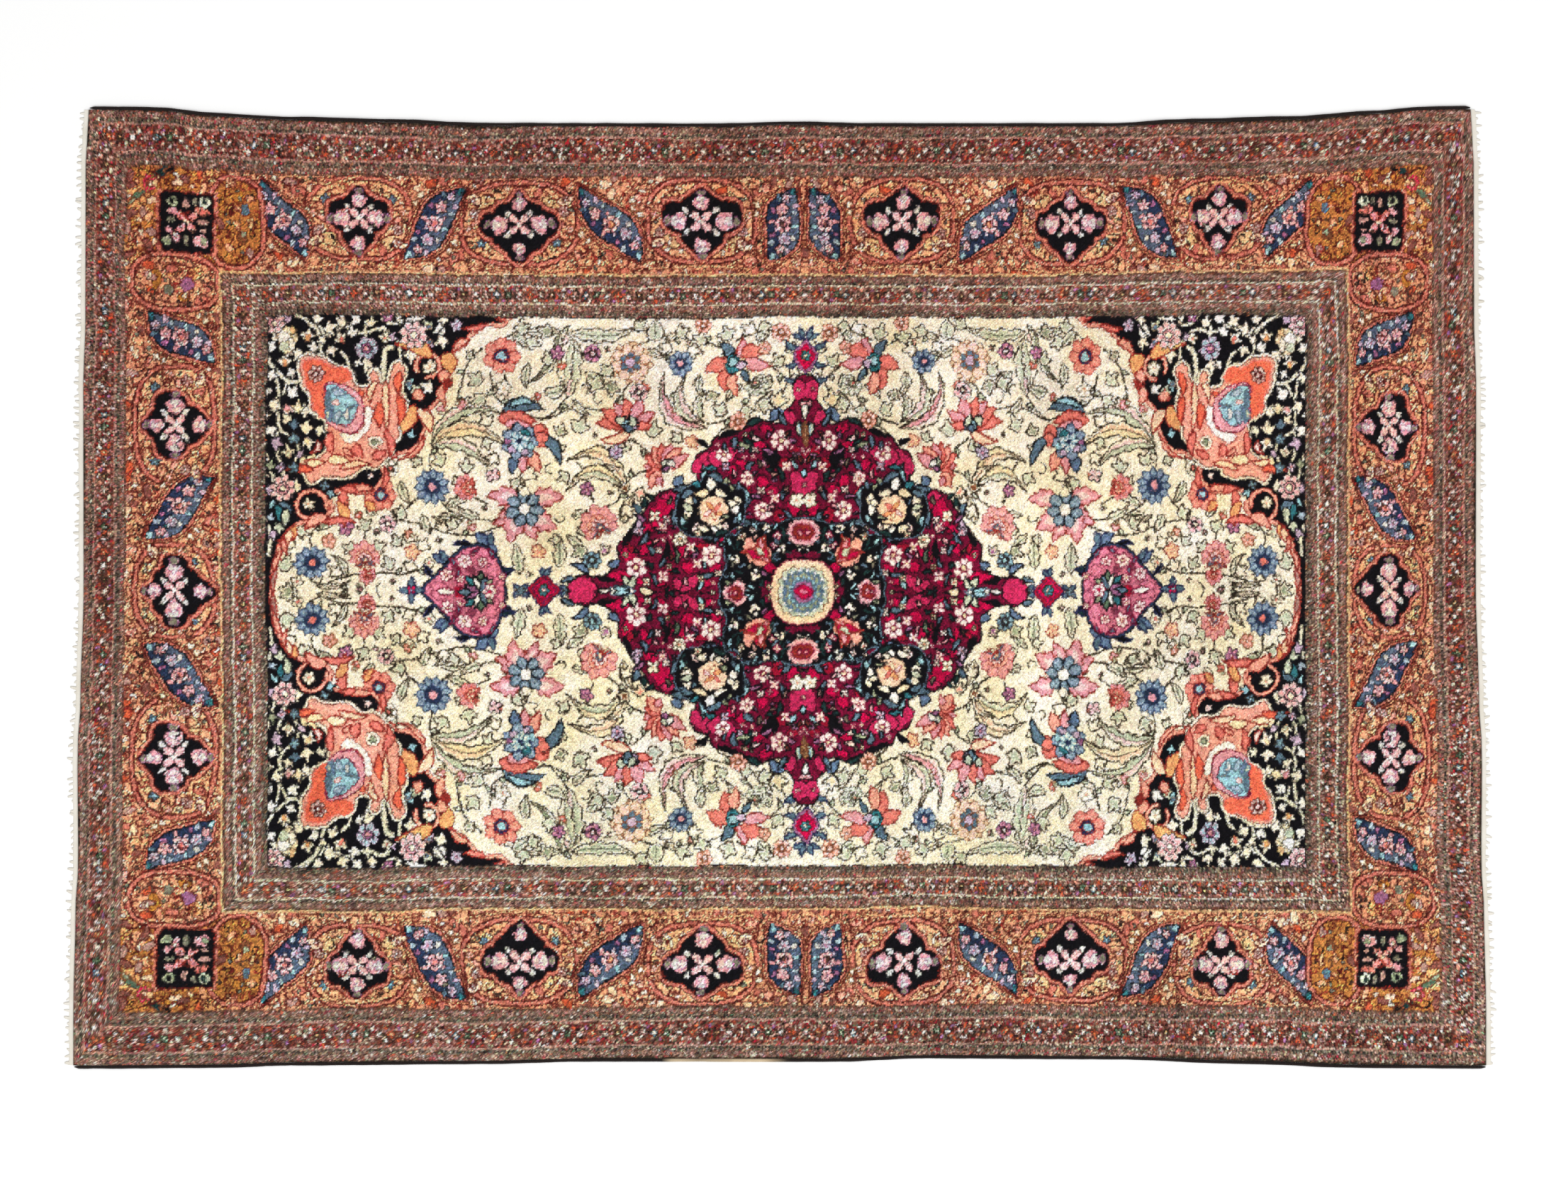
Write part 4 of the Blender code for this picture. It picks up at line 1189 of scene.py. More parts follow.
# orange ground and its loops, the black square with its patches and flower, then the sprays
def drawCorner():
    along, across, halfLength, halfWidth = cornerSquare
    panel([(838, 468), (984, 468), (984, 600), (838, 600)], [(0, "ochre")], False)
    for a, c, size, dye in [(972, 560, 22, "orange"), (962, 590, 20, "ochre"), (966, 540, 18, "orange"),
                            (920, 588, 16, "brass"), (860, 586, 18, "orange"), (964, 500, 18, "terracotta"),
                            (980, 480, 20, "orange")]:
        blob(a, c, size, size * 0.7, 30, dye, "ochre", 0.4)
    drawLoop(826, 530, 90, 41, 62, "ochre")
    drawLoop(913, 442, 180, 37, 62, "terracotta")
    each(blob, [(822, 566, 12, 9, 80, "brass"), (832, 544, 5, 5, 0, "maroon"), (812, 548, 7, 9, 0, "slate"),
                (838, 492, 12, 20, 0, "ochre"), (816, 510, 9, 10, 0, "brown"), (814, 514, 5, 5, 0, "sage"),
                (832, 586, 9, 6, 30, "terracotta"), (850, 560, 8, 10, 0, "brass"),
                (804, 530, 5, 9, 0, "sand"), (894, 440, 11, 10, 0, "mauve"), (922, 430, 8, 8, 0, "pewter"),
                (916, 458, 14, 9, 10, "orange"), (940, 446, 9, 14, 0, "brass"),
                (884, 456, 12, 10, 0, "orange"), (900, 422, 10, 7, 0, "brass")], line="maroon", inkMm=1.2)
    square = [(along + x * halfLength, across + y * halfWidth) for x, y in
              ((-1, -0.86), (-1, 1), (0.86, 1), (1, 0.9), (1, -0.8), (0.84, -1), (-0.9, -1))]
    panel(square, [(-10, "maroon"), (-7.6, "shell"), (-3.2, "maroon"), (-1.0, "night")], False)
    for a, c, long, wide, aim, dye in [
            (-21, 27, 8, 7, 0, "sage"), (-21, 27, 3, 4, 0, "night"), (-21, 13, 8, 5, 0, "rose"),
            (-1, 26, 4, 8, 0, "dusk"), (26, 29, 8, 7, 0, "celadon"), (25, 30, 3, 4, 0, "pine"),
            (11, 30, 3.5, 6, 0, "pewter"), (21, 17, 11, 5, 12, "coral"), (25, 2, 9, 4, 0, "dusk"),
            (-22, 1, 7, 4, 0, "pewter"), (-25, -13, 5, 5, 0, "rose"), (-27, -28, 7, 6, 30, "sage"),
            (-15, -22, 9, 5, 60, "rose"), (0, -25, 4, 8, 0, "pewter"), (22, -25, 10, 8, 20, "rose"),
            (25, -25, 5, 5, 0, "sage"), (25, -11, 6, 3, 0, "dusk")]:
        blob(along - a, across + c, long * 1.1, wide * 1.1, aim, dye, "night", 0.9)
    spot = Spot(along, across - 1, 22, 45)
    petalRing(spot, ("night", "coral", "rose"), 4, 0.5, 20, 12)
    spot.disc(4.0, "peach")
    # spray at the outer corner: leaf, bud, leaf
    each(blade, [(946, 586, 42, 13, 142, 3, "pine"), (956, 566, 34, 12, 322, 3, "moss"),
                 (930, 594, 22, 9, 150, 3, "night"), (970, 554, 18, 8, 320, 3, "sage")], line="brown")
    rosette(951, 576, 12, 5, "wineBud")
    blob(943, 577, 5, 5, 0, "sand", "maroon", 1.0)
    for points in ([(960, 520), (972, 500), (962, 480), (944, 476)],
                   [(880, 588), (858, 592), (842, 580), (840, 566)], [(966, 596), (940, 590), (926, 580)]):
        sprig(points, 2.4, "maroon", "sand", 10, 3, "maroon")


# curly tendrils over one ground: a line follows the zeros of soft noise, and its distance from there is the
# noise over its own slope
def tendrils(area, ground, size, width, seed, colour):
    (a0, c0), (a1, c1) = (chart.index(*corner) for corner in area)
    x, y = np.broadcast_arrays(chart.alongMm[None, a0:a1], chart.acrossMm[c0:c1, None])
    noise = softNoise(x, y, size, seed) + 0.5 * softNoise(x, y, size * 0.45, seed + 1)
    slopes = np.gradient(noise, chart.step)
    inside = width / 2 - np.abs(noise) / np.maximum(np.hypot(slopes[0], slopes[1]), 0.02)
    window = chart.knots[c0:c1, a0:a1]
    bare = np.abs(window - tone(ground)).sum(-1) < 0.1
    lay(window, inside, tone(colour), bare * 0.85)


# hooks, leaflets and pale flecks over all the orange ground that is left
def borderFiller():
    fleckDyes = ("shell", "honey", "honey", "dusk", "rust", "peach", "shell", "dusk", "russet", "salmon",
                 "honey", "russet")
    hookDyes = ("night", "maroon", "umber", "maroon", "maroon", "brick", "maroon")

    # patch of a paler or darker wool
    def fleck(along, across, aim, kind, share):
        blob(along, across, 8 + 5 * share, 5 + 2 * share, aim, fleckDyes[kind], "maroon", 1.0 + 0.8 * share)

    # hook of stem, small leaf or grain, by kind
    def hook(along, across, aim, kind, share):
        if kind < 7:
            stem(curl(along, across, (2, 8), (aim, aim + 200), 8), 2.6, hookDyes[kind])
        elif kind < 10:
            blob(along, across, 5 + 3 * share, 3.2, aim, ("peach", "honey", "bone")[kind - 7], "maroon", 1.2)
        else:
            blob(along, across, 3.6 + share, 3.2, aim, ("pewter", "umber")[kind - 10], "night", 1.2)

    side, end = ((2, 464), (982, 598)), ((851, 2), (982, 464))
    for pitch, reach, seed, draw in [(13, 5.5, 20, fleck), (8.5, 3.6, 21, hook), (7, 2.4, 22, hook)]:
        strew(side, pitch, reach, seed, ["terracotta", "shell"], draw)
        strew(end, pitch, reach, seed + 9, ["terracotta", "shell"], draw)
    for area in (side, end):
        strew(area, 10, 4.0, 24, ["honey"], hook)
    strew(((800, 464), (982, 598)), 17, 6.0, 23, ["ochre"], hook)
    for area in (((0, 462), (984, 600)), ((849, 0), (984, 462))):
        for ground, size, width, seed in (("terracotta", 10.5, 3.6, 61), ("honey", 26.0, 2.2, 63),
                                          ("ochre", 22.0, 2.2, 65)):
            tendrils(area, ground, size, width, seed, "maroon")


# loops, stems, leaves and the corner, then the cartouches over them and what fills the rest
def drawBorder():
    for along, across, turn, stretch, halfLength, halfHeight, shape in cartouches:
        drawLoop(along, across, turn, halfLength, halfHeight)
    for points in ([(740, 600), (700, 588), (640, 602)], [(730, 466), (650, 474), (560, 466)],
                   [(560, 594), (530, 560), (500, 594)], [(490, 470), (406, 464), (320, 470)],
                   [(318, 592), (280, 560), (246, 594)], [(240, 468), (151, 474), (70, 468)]):
        stem(points, 5.2, "maroon")
        stem(points, 2.4, "honey")
    each(drawBorderLeaf, borderLeaves)
    drawCorner()
    for along, across, turn, stretch, halfLength, halfHeight, shape in cartouches:
        dressLoop(along, across, turn, halfLength)
        drawCartouche(along, across, turn, stretch, shape)
    borderFiller()


# guard stripes: two rings of narrow rows, given from the outer edge inwards as
# (share of the ring's width where it starts, kind, ground, second wool, pitch in millimetres, fleck share)
guardPlan = [
    {"inside": ruled["border"], "outside": ruled["outerGuard"], "pastMm": 16, "motifPitch": 18.0, "rows": [
        (0.000, "plain", "ink", None, 0, 0.2), (0.022, "braid", "umber", "dusk", 8.6, 0.6),
        (0.150, "dots", "taupe", "night", 5.4, 0.65), (0.240, "plain", "dusk", None, 0, 0.2),
        (0.268, "plain", "garnet", None, 0, 0.9), (0.717, "plain", "dusk", None, 0, 0.2),
        (0.745, "dots", "taupe", "night", 5.4, 0.65), (0.850, "braid", "umber", "dusk", 7.4, 0.6),
        (0.975, "plain", "umber", None, 0, 0.2)]},
    {"inside": ruled["field"], "outside": ruled["innerGuard"], "pastMm": 0, "motifPitch": 16.0, "rows": [
        (0.000, "plain", "sand", None, 0, 0.3), (0.045, "plain", "umber", None, 0, 0.4),
        (0.085, "braid", "umber", "dusk", 8.2, 0.6), (0.215, "dots", "taupe", "night", 5.2, 0.65),
        (0.278, "plain", "bone", None, 0, 0.3), (0.305, "plain", "russet", None, 0, 0.9),
        (0.680, "plain", "bone", None, 0, 0.3), (0.707, "braid", "umber", "dusk", 9.0, 0.6),
        (0.850, "dots", "taupe", "ink", 5.2, 0.65), (0.965, "plain", "night", None, 0, 0.2)]},
]
motifRow = 0.49      # share of a ring's width where its flowers stand

# what stands in the middle row, in turn: size, petals, dyes
guardMotifs = [
    (6.0, 4, "guardWhite"), (6.0, 4, "guardOlive"), (5.5, 5, "guardWhite"), (5.5, 4, "guardOrange"),
    (6.0, 4, "guardWhite"), (5.5, 4, "guardGreen"), (5.5, 4, "guardBlue"), (6.0, 4, "guardMauve"),
]
guardFlecks = (
    "umber", "garnet", "taupe", "dusk", "brown", "night", "moss", "madder", "night", "rust", "pewter",
    "umber", "bone", "ink", "dusk", "pewter", "pearl", "ink",
)


# one side of a ring, cut at 45 degrees at its corner: rows by depth from the outer edge; a braid is two
# mirrored zigzags, dots are circles one pitch apart, and flecks are single knots of another wool
def drawGuardSide(plan, axis, cells=512):
    low, high = plan["inside"], plan["outside"]
    first, last = chart.index(*low), chart.index(*high)
    columns = slice(first[0] - 1 if axis == 0 else 0, last[0] + 20)
    rows = slice(first[1] - 1 if axis == 1 else 0, last[1] + 20)
    places = np.broadcast_arrays(chart.alongMm[None, columns], chart.acrossMm[rows, None])
    shares = [(place - a) / (b - a) for place, a, b in zip(places, low, high)]
    width = high[axis] - low[axis]
    depth = (1 - shares[axis]) * width
    place = places[1 - axis]
    mitre = np.minimum((shares[axis] - shares[1 - axis]) * width, depth + plan["pastMm"])
    window = chart.knots[rows, columns]
    dice = np.random.default_rng(77 + axis + int(width))
    tones = np.array([tone(name) for name in guardFlecks])
    picks = dice.integers(0, len(tones), (cells, cells))
    strengths = dice.uniform(0.1, 1.0, (cells, cells)).astype(np.float32)
    wavy = places[0] + 0.8 * np.sin(places[1])
    cell = (wavy / 3.3).astype(int) % cells, (places[1] / 3.0).astype(int) % cells

    # a row laid no farther than the mitre
    def band(inside, rgb, strength=1.0):
        lay(window, np.minimum(inside, mitre), rgb, strength)

    ends = [row[0] for row in plan["rows"][1:]] + [1.0]
    for (start, kind, ground, second, pitch, flecks), end in zip(plan["rows"], ends):
        start, end = start * width, end * width
        row = np.minimum(depth - start + (plan["pastMm"] if start == 0 else 0), end - depth)
        band(row, tone(ground))
        middle, half = (start + end) / 2, (end - start) / 2
        turn = (place / pitch) % 1.0 if pitch else 0
        if kind == "braid":
            zigzag = (np.abs(turn - 0.5) * 4 - 1) * half * 0.72
            for sign in (-1, 1):
                strand = 0.85 - np.abs(depth - middle - sign * zigzag) * 0.75
                band(np.minimum(row, strand), tone(second), 0.8)
        band(row, tones[picks[cell]], flecks * strengths[cell])
        if kind == "dots":
            dots = 1.1 - np.hypot((turn - 0.5) * pitch, (depth - middle) * 0.6)
            band(np.minimum(row, dots), tone(second), 0.85)


# a ring: both sides, then flowers along the middle row with small blossoms between them
def drawGuards():
    blossomDyes = ("dusk", "rust", "salmon", "bone", "mauve")
    for plan in guardPlan:
        for axis in (1, 0):
            drawGuardSide(plan, axis)
        for axis in (1, 0):
            low, high = plan["inside"], plan["outside"]
            width = high[axis] - low[axis]
            line = high[axis] - motifRow * width
            length = low[1 - axis] + (high[1 - axis] - low[1 - axis]) * (1 - motifRow)
            count = int(round(length / plan["motifPitch"]))
            for n in range(count + 1):
                place = n * length / count
                at = (line, place) if axis == 0 else (place, line)
                rosette(*at, *guardMotifs[(n + 2 * axis) % len(guardMotifs)], turn=45 * (n // 2 % 2))
                if n % 2 == 0:
                    blob(*at, 3.2, 2.6, 0, "milk", "umber", 0.6)
                for sign in (-1, 1):
                    between, off = place + length / count / 2, line + sign * width * 0.115
                    at = (off, between) if axis == 0 else (between, off)
                    blob(*at, 3.4, 2.6, 90 * (n % 4), blossomDyes[(n * 2 + sign + axis) % 5], "umber", 0.7)


weaverPlan = {
    "wander": [(4.2, 0.9), (12.0, 1.0), (34.0, 1.4), (160.0, 3.0)],   # how far a line strays: over, by (mm)
    "knotMm": 2.3,            # one knot
    "knotHold": 0.45,         # how far a knot keeps to the single wool at its middle
    "strayMm": 1.7,           # farthest a single knot's wool comes from
    "bleed": 0.28,            # share of a neighbouring knot's wool that mixes in
    "knotTone": 0.16,         # brightness from knot to knot
    "tuftTone": 0.10,         # the same over two or three knots
    "tint": 0.05,             # red, green and blue apart from each other
    "batchTone": 0.05,        # brightness from one dye batch to the next
    "wear": 0.06,             # slow fading and soiling
    "warmth": 0.09,           # straw tinge of the pale wools, in patches
    "drift": (0.0, -0.035, -0.035),   # red, green and blue from the near side to the far side
    "contrast": 1.10, "black": -0.062,
}


# random value of each knot's own square, one for every channel
def perKnot(u, v, seed, channels=1, cells=512):
    table = np.random.default_rng(seed).uniform(-1, 1, (cells, cells, channels)).astype(np.float32)
    size = weaverPlan["knotMm"]
    return table[np.floor(v / size).astype(int) % cells, np.floor(u / size).astype(int) % cells]


# wool seen at a design place: the chart read where the weaver's line has strayed to, a knot holding to
# its middle, some knots taking the wool of a place the cube of a random number away, neighbours mixing,
# then the tone of knots and tufts, dye batches as bands across the rug, fading by slow noise, a straw
# tinge by the square of the brightness, a drift from far to near, and a straight line for the contrast
def dyedAt(u, v):
    plan = weaverPlan
    size = plan["knotMm"]
    ku = u + plan["knotHold"] * ((np.floor(u / size) + 0.5) * size - u)
    kv = v + plan["knotHold"] * ((np.floor(v / size) + 0.5) * size - v)
    for n, (over, reach) in enumerate(plan["wander"]):
        ku = ku + reach * softNoise(u, v, over, 101 + n)
        kv = kv + reach * softNoise(u, v, over, 201 + n)
    stray = plan["strayMm"] * perKnot(u, v, 306, 2) ** 3
    rgb = chart.read(np.abs(ku + stray[..., 0]), np.abs(kv + stray[..., 1])) * (1 - plan["bleed"])
    near = size * 0.9
    shiftU, shiftV = near * softNoise(u, v, 3.1, 307), near * softNoise(u, v, 3.1, 308)
    rgb = rgb + plan["bleed"] * chart.read(np.abs(ku + shiftU * 1.6), np.abs(kv + shiftV * 1.6))
    slow = 1 + plan["wear"] * softNoise(u, v, 95, 301) + plan["batchTone"] * softNoise(u, v * 0.12, 42, 302)
    knots = plan["tuftTone"] * softNoise(u, v, 5.2, 303)[..., None] + plan["knotTone"] * perKnot(u, v, 304)
    knots = (knots + plan["tint"] * perKnot(u, v, 305, 3)) * (1.3 - rgb.mean(-1, keepdims=True))
    warm = plan["warmth"] * (softNoise(u, v, 74, 309) + softNoise(u, v, 26, 310))
    rgb = rgb * (1 + (warm * rgb.mean(-1) ** 2)[..., None] * np.array([-0.1, -0.3, -1.0]))
    drift = 1 + (v / ruled["outerGuard"][1])[..., None] * np.array(plan["drift"])
    return plan["black"] + plan["contrast"] * rgb * (slow[..., None] + knots) * drift


# the rug's own shape, in millimetres
rugPlan = {
    "middle": (36.0, -5.0),       # where the design's middle lies
    "rightAt": (0, 130, 300, 407, 540, 640, 783, 849, 984, 1045),
    "rightLoss": (0, 5, 15, 28, 35, 45, 53, 56, 70, 69),  # how much shorter the right half is woven, there
    "topMm": 5.85,                # height of the pile
    "slackMm": 0.35,              # long low waves in the lying cloth
    "sunkMm": 0.35,               # dark wool wears lower
    "tuftMm": 0.10,               # unevenness from knot to knot
    "rimMm": 4.35,                # height of the outermost row, which dips to the cloth's edge
    "rimInMm": 0.5,               # a row this near the outer edge is the outermost
}
halfLong, halfWide = ruled["outerGuard"]

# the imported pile's vertices on its upright side, between its two rounded rims
outline = np.empty(len(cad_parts["pile"].data.vertices) * 3, np.float32)
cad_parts["pile"].data.vertices.foreach_get("co", outline)
outline = outline.reshape(-1, 3) * 1000
outline = outline[(outline[:, 2] > 1.1) & (outline[:, 2] < 4.9)]


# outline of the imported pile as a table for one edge, sorted along that edge
def edgeTable(axis, sign, least):
    chosen = outline[outline[:, axis] * sign > least]
    order = np.argsort(chosen[:, 1 - axis])
    return chosen[order, 1 - axis], chosen[order, axis]


farEdge, nearEdge = edgeTable(1, 1, 660), edgeTable(1, -1, 670)
leftEdge, rightEdge = edgeTable(0, -1, 1000), edgeTable(0, 1, 1000)


# design place to floor place: shifted middle, eased shortening of the right half, then each edge
# drawn out to the pile's own outline by a share that grows from the inner border outwards
def laidOut(u, v):
    a, b = np.abs(u), np.abs(v)
    x0, y0 = rugPlan["middle"]
    right = x0 + a - np.interp(a, rugPlan["rightAt"], rugPlan["rightLoss"])
    baseX = np.where(u > 0, right, x0 - a)
    baseY = y0 + v
    sideShare = np.interp(b, [330, 397, 462, 600, halfWide], [0, 0.2, 0.4, 0.7, 1])
    endShare = np.interp(a, [849, 984, halfLong], [0, 0.7, 1])
    endRight = x0 + halfLong - rugPlan["rightLoss"][-1]
    x, y = baseX, baseY
    for _ in range(3):
        far, near = np.interp(x, *farEdge) - (y0 + halfWide), np.interp(x, *nearEdge) - (y0 - halfWide)
        right, left = np.interp(y, *rightEdge) - endRight, np.interp(y, *leftEdge) - (x0 - halfLong)
        x, y = baseX + endShare * np.where(u > 0, right, left), baseY + sideShare * np.where(v > 0, far, near)
    return x, y


# screen value to linear light, as sRGB has it
def toLinear(rgb):
    return np.where(rgb > 0.04045, ((np.maximum(rgb, 0) + 0.055) / 1.055) ** 2.4, rgb / 12.92)


# lying cloth: top height less the sunk dark wool, plus long waves and tufts
def pileTop(x, y, rgb, seed):
    dark = np.clip(0.45 - rgb.mean(-1), 0, 0.45) / 0.45
    waves = softNoise(x, y, 210, 401) * 0.6 + softNoise(x, y, 90, 402) * 0.4
    tufts = np.random.default_rng(seed).uniform(-1, 1, x.shape)
    relief = rugPlan["slackMm"] * waves - rugPlan["sunkMm"] * dark + rugPlan["tuftMm"] * tufts
    return rugPlan["topMm"] + relief


# the four corners of every square of a grid
def corners(grid):
    return np.stack([grid[:-1, :-1], grid[:-1, 1:], grid[1:, 1:], grid[1:, :-1]], -1)


# a smooth piece from places in millimetres and faces
def newPiece(name, places, faces, material):
    mesh = bpy.data.meshes.new(name)
    mesh.from_pydata(places / 1000, [], faces)
    mesh.polygons.foreach_set("use_smooth", np.ones(len(mesh.polygons), bool))
    mesh.materials.append(material)
    piece = bpy.data.objects.new(name, mesh)
    bpy.context.scene.collection.objects.link(piece)
    return piece


# a grid of quads from arrays of places in millimetres; the bake's map lays it out in stacked stretches
def gridPiece(name, x, y, z, material, stretches=1, closed=False):
    index = np.arange(x.size).reshape(x.shape)
    if closed:
        index = np.vstack([index, index[:1]])
    quads = corners(index)
    piece = newPiece(name, np.stack([x, y, z], -1).reshape(-1, 3), quads.reshape(-1, 4), material)
    down, over = quads.shape[:2]
    cut = int(np.ceil(over / stretches))
    r, c = np.meshgrid(np.arange(down), np.arange(over), indexing="ij")
    stretch = c // cut
    turns = [(0, 0), (0, 1), (1, 1), (1, 0)]
    s = np.stack([(c - stretch * cut + right) / cut for up, right in turns], -1)
    t = np.stack([(stretch + 0.02 + 0.96 * (r + up) / down) / stretches for up, right in turns], -1)
    layer = piece.data.uv_layers.new(name="OFBake")
    layer.data.foreach_set("uv", np.stack([s, t], -1).astype(np.float32).ravel())
    return piece


# the dye attribute: one colour for each corner of each face
def giveDye(piece, rgb):
    colour = np.ones(rgb.shape[:-1] + (4,), np.float32)
    colour[..., :3] = toLinear(np.clip(rgb, 0.0, 1.0))
    layer = piece.data.color_attributes.new("dye", "FLOAT_COLOR", "CORNER")
    layer.data.foreach_set("color", colour.ravel())


# shares of a quad's corners in four readings of it, each a quarter in from one corner
readings = np.array([[9, 3, 1, 3], [3, 9, 3, 1], [1, 3, 9, 3], [3, 1, 3, 9]]) / 16


# a tile of knotted pile from a grid of design places: four readings in every quad, drawn out to its
# corners, so that the quad shows twice as many knots as it has edges
def knottedTile(name, u, v, seed, stretches=1):
    x, y = laidOut(u, v)
    rim = (np.abs(u) > halfLong - rugPlan["rimInMm"]) | (np.abs(v) > halfWide - rugPlan["rimInMm"])
    top = np.where(rim, rugPlan["rimMm"], pileTop(x, y, dyedAt(u, v), seed))
    piece = gridPiece(name, x, y, top, pileWool, stretches)
    rgb = dyedAt(corners(u) @ readings.T, corners(v) @ readings.T)
    dice = np.random.default_rng(seed + 50)
    quads, knots = rgb.shape[:2] + (1, 1), rgb.shape[:3] + (1,)
    rgb *= 1 + weaverPlan["knotTone"] * (0.6 * dice.uniform(-1, 1, quads) + 0.6 * dice.uniform(-1, 1, knots))
    giveDye(piece, np.einsum("kn,rcnd->rckd", np.linalg.inv(readings), rgb))
    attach(piece, "root")
    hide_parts("pile")
    return piece


class Value:
    # a socket that can be reckoned with: every operator adds one Math node
    def __init__(self, kit, socket):
        self.kit, self.socket = kit, socket

    # one Math node on the values given
    def math(self, operation, *others):
        return self.kit.node("ShaderNodeMath", {"operation": operation}, dict(enumerate(others)))

    def __add__(self, other):
        return self.math("ADD", self, other)

    def __mul__(self, other):
        return self.math("MULTIPLY", self, other)


class Finish:
    # a material and the one way its nodes are made
    def __init__(self, name, roughness, sheen=0.0, specular=0.2):
        self.material = bpy.data.materials.new(name)
        self.material.use_nodes = True
        self.tree = self.material.node_tree
        self.shader = self.tree.nodes["Principled BSDF"]
        self.shader.inputs["Roughness"].default_value = roughness
        self.shader.inputs["Sheen Weight"].default_value = sheen
        self.shader.inputs["Specular IOR Level"].default_value = specular

    # kind of node, its settings, then the values or links of its sockets; gives its first output
    def node(self, kind, settings=None, inputs=None, output=0):
        made = self.tree.nodes.new(kind)
        for key, value in (settings or {}).items():
            setattr(made, key, value)
        for key, value in (inputs or {}).items():
            if isinstance(value, Value):
                self.tree.links.new(value.socket, made.inputs[key])
            else:
                made.inputs[key].default_value = value
        return Value(self, made.outputs[output])

    # a value into one socket of the shader
    def feed(self, socket, value):
        self.tree.links.new(value.socket, self.shader.inputs[socket])

    # second over first by a share, or the two multiplied
    def mix(self, share, first, second, blend="MIX"):
        settings = {"data_type": "RGBA", "blend_type": blend}
        return self.node("ShaderNodeMix", settings, {0: share, 6: first, 7: second}, 2)

    # soft noise over the place in metres, so many waves to a metre
    def noise(self, place, scale, detail, roughness=0.5):
        inputs = {"Vector": place, "Scale": scale, "Detail": detail, "Roughness": roughness}
        return self.node("ShaderNodeTexNoise", None, inputs)

    # sine of the place along one axis, one wave to a pitch in metres
    def wave(self, place, axis, pitch):
        turn = self.node("ShaderNodeSeparateXYZ", None, {"Vector": place}, axis) * (2 * np.pi / pitch)
        return turn.math("SINE", turn)

    # the surface's normal tilted by the slope of a height
    def bump(self, height, strength, distance):
        inputs = {"Strength": strength, "Distance": distance, "Height": height}
        self.feed("Normal", self.node("ShaderNodeBump", None, inputs))


# knotted wool: the dye attribute, speckled by fine noise; rows of knots and tufts as bump
def makePileWool():
    made = Finish("knottedWool", 0.93, 0.12, 0.12)
    place = made.node("ShaderNodeTexCoord", output=3)
    dye = made.node("ShaderNodeAttribute", {"attribute_name": "dye"})
    fuzz = made.noise(place, 620.0, 2.0, 0.6)
    speck = fuzz * 0.42 + 0.79
    grey = made.node("ShaderNodeCombineColor", None, {"Red": speck, "Green": speck, "Blue": speck})
    made.feed("Base Color", made.mix(1.0, dye, grey, "MULTIPLY"))
    made.bump(fuzz + made.wave(place, 0, 0.0026) * 0.22, 0.55, 0.0006)
    return made.material


# overcast wool of the side cords, worn to the tan cotton where the worn attribute says so
def makeCordWool():
    made = Finish("overcastWool", 0.9, 0.1, 0.15)
    place = made.node("ShaderNodeTexCoord", output=3)
    wraps = made.wave(place, 0, 0.0024)
    fuzz = made.noise(place, 480.0, 2.0)
    worn = made.node("ShaderNodeAttribute", {"attribute_name": "worn"}, output=2)
    dark = made.mix(fuzz * 0.5 + wraps * 0.1, (0.006, 0.004, 0.004, 1), (0.045, 0.028, 0.024, 1))
    tan = made.mix(made.noise(place, 24.0, 2.0), (0.30, 0.17, 0.08, 1), (0.82, 0.68, 0.46, 1))
    made.feed("Base Color", made.mix(worn, dark, tan))
    made.bump(wraps * 0.5 + fuzz * 0.5, 0.7, 0.0006)
    return made.material


# cotton warp, plain woven: crossing sines as bump, slight soiling
def makeCotton():
    made = Finish("cottonWarp", 0.88, 0.1, 0.15)
    place = made.node("ShaderNodeTexCoord", output=3)
    soil = made.noise(place, 30.0, 3.0)
    made.feed("Base Color", made.mix(soil, (0.70, 0.64, 0.52, 1), (0.95, 0.92, 0.86, 1)))
    made.bump(made.wave(place, 0, 0.0021) * made.wave(place, 1, 0.0023) * 0.5, 0.6, 0.0005)
    return made.material


backPlan = {
    "squareMm": 12.5,                         # how finely the back is cut
    "rings": [(-0.9, 0.35), (0.0, 1.3), (0.0, 4.3), (-0.6, 4.5)],   # rim: out by, height
    "shade": 0.86,                            # the back's wool is darker by this
}


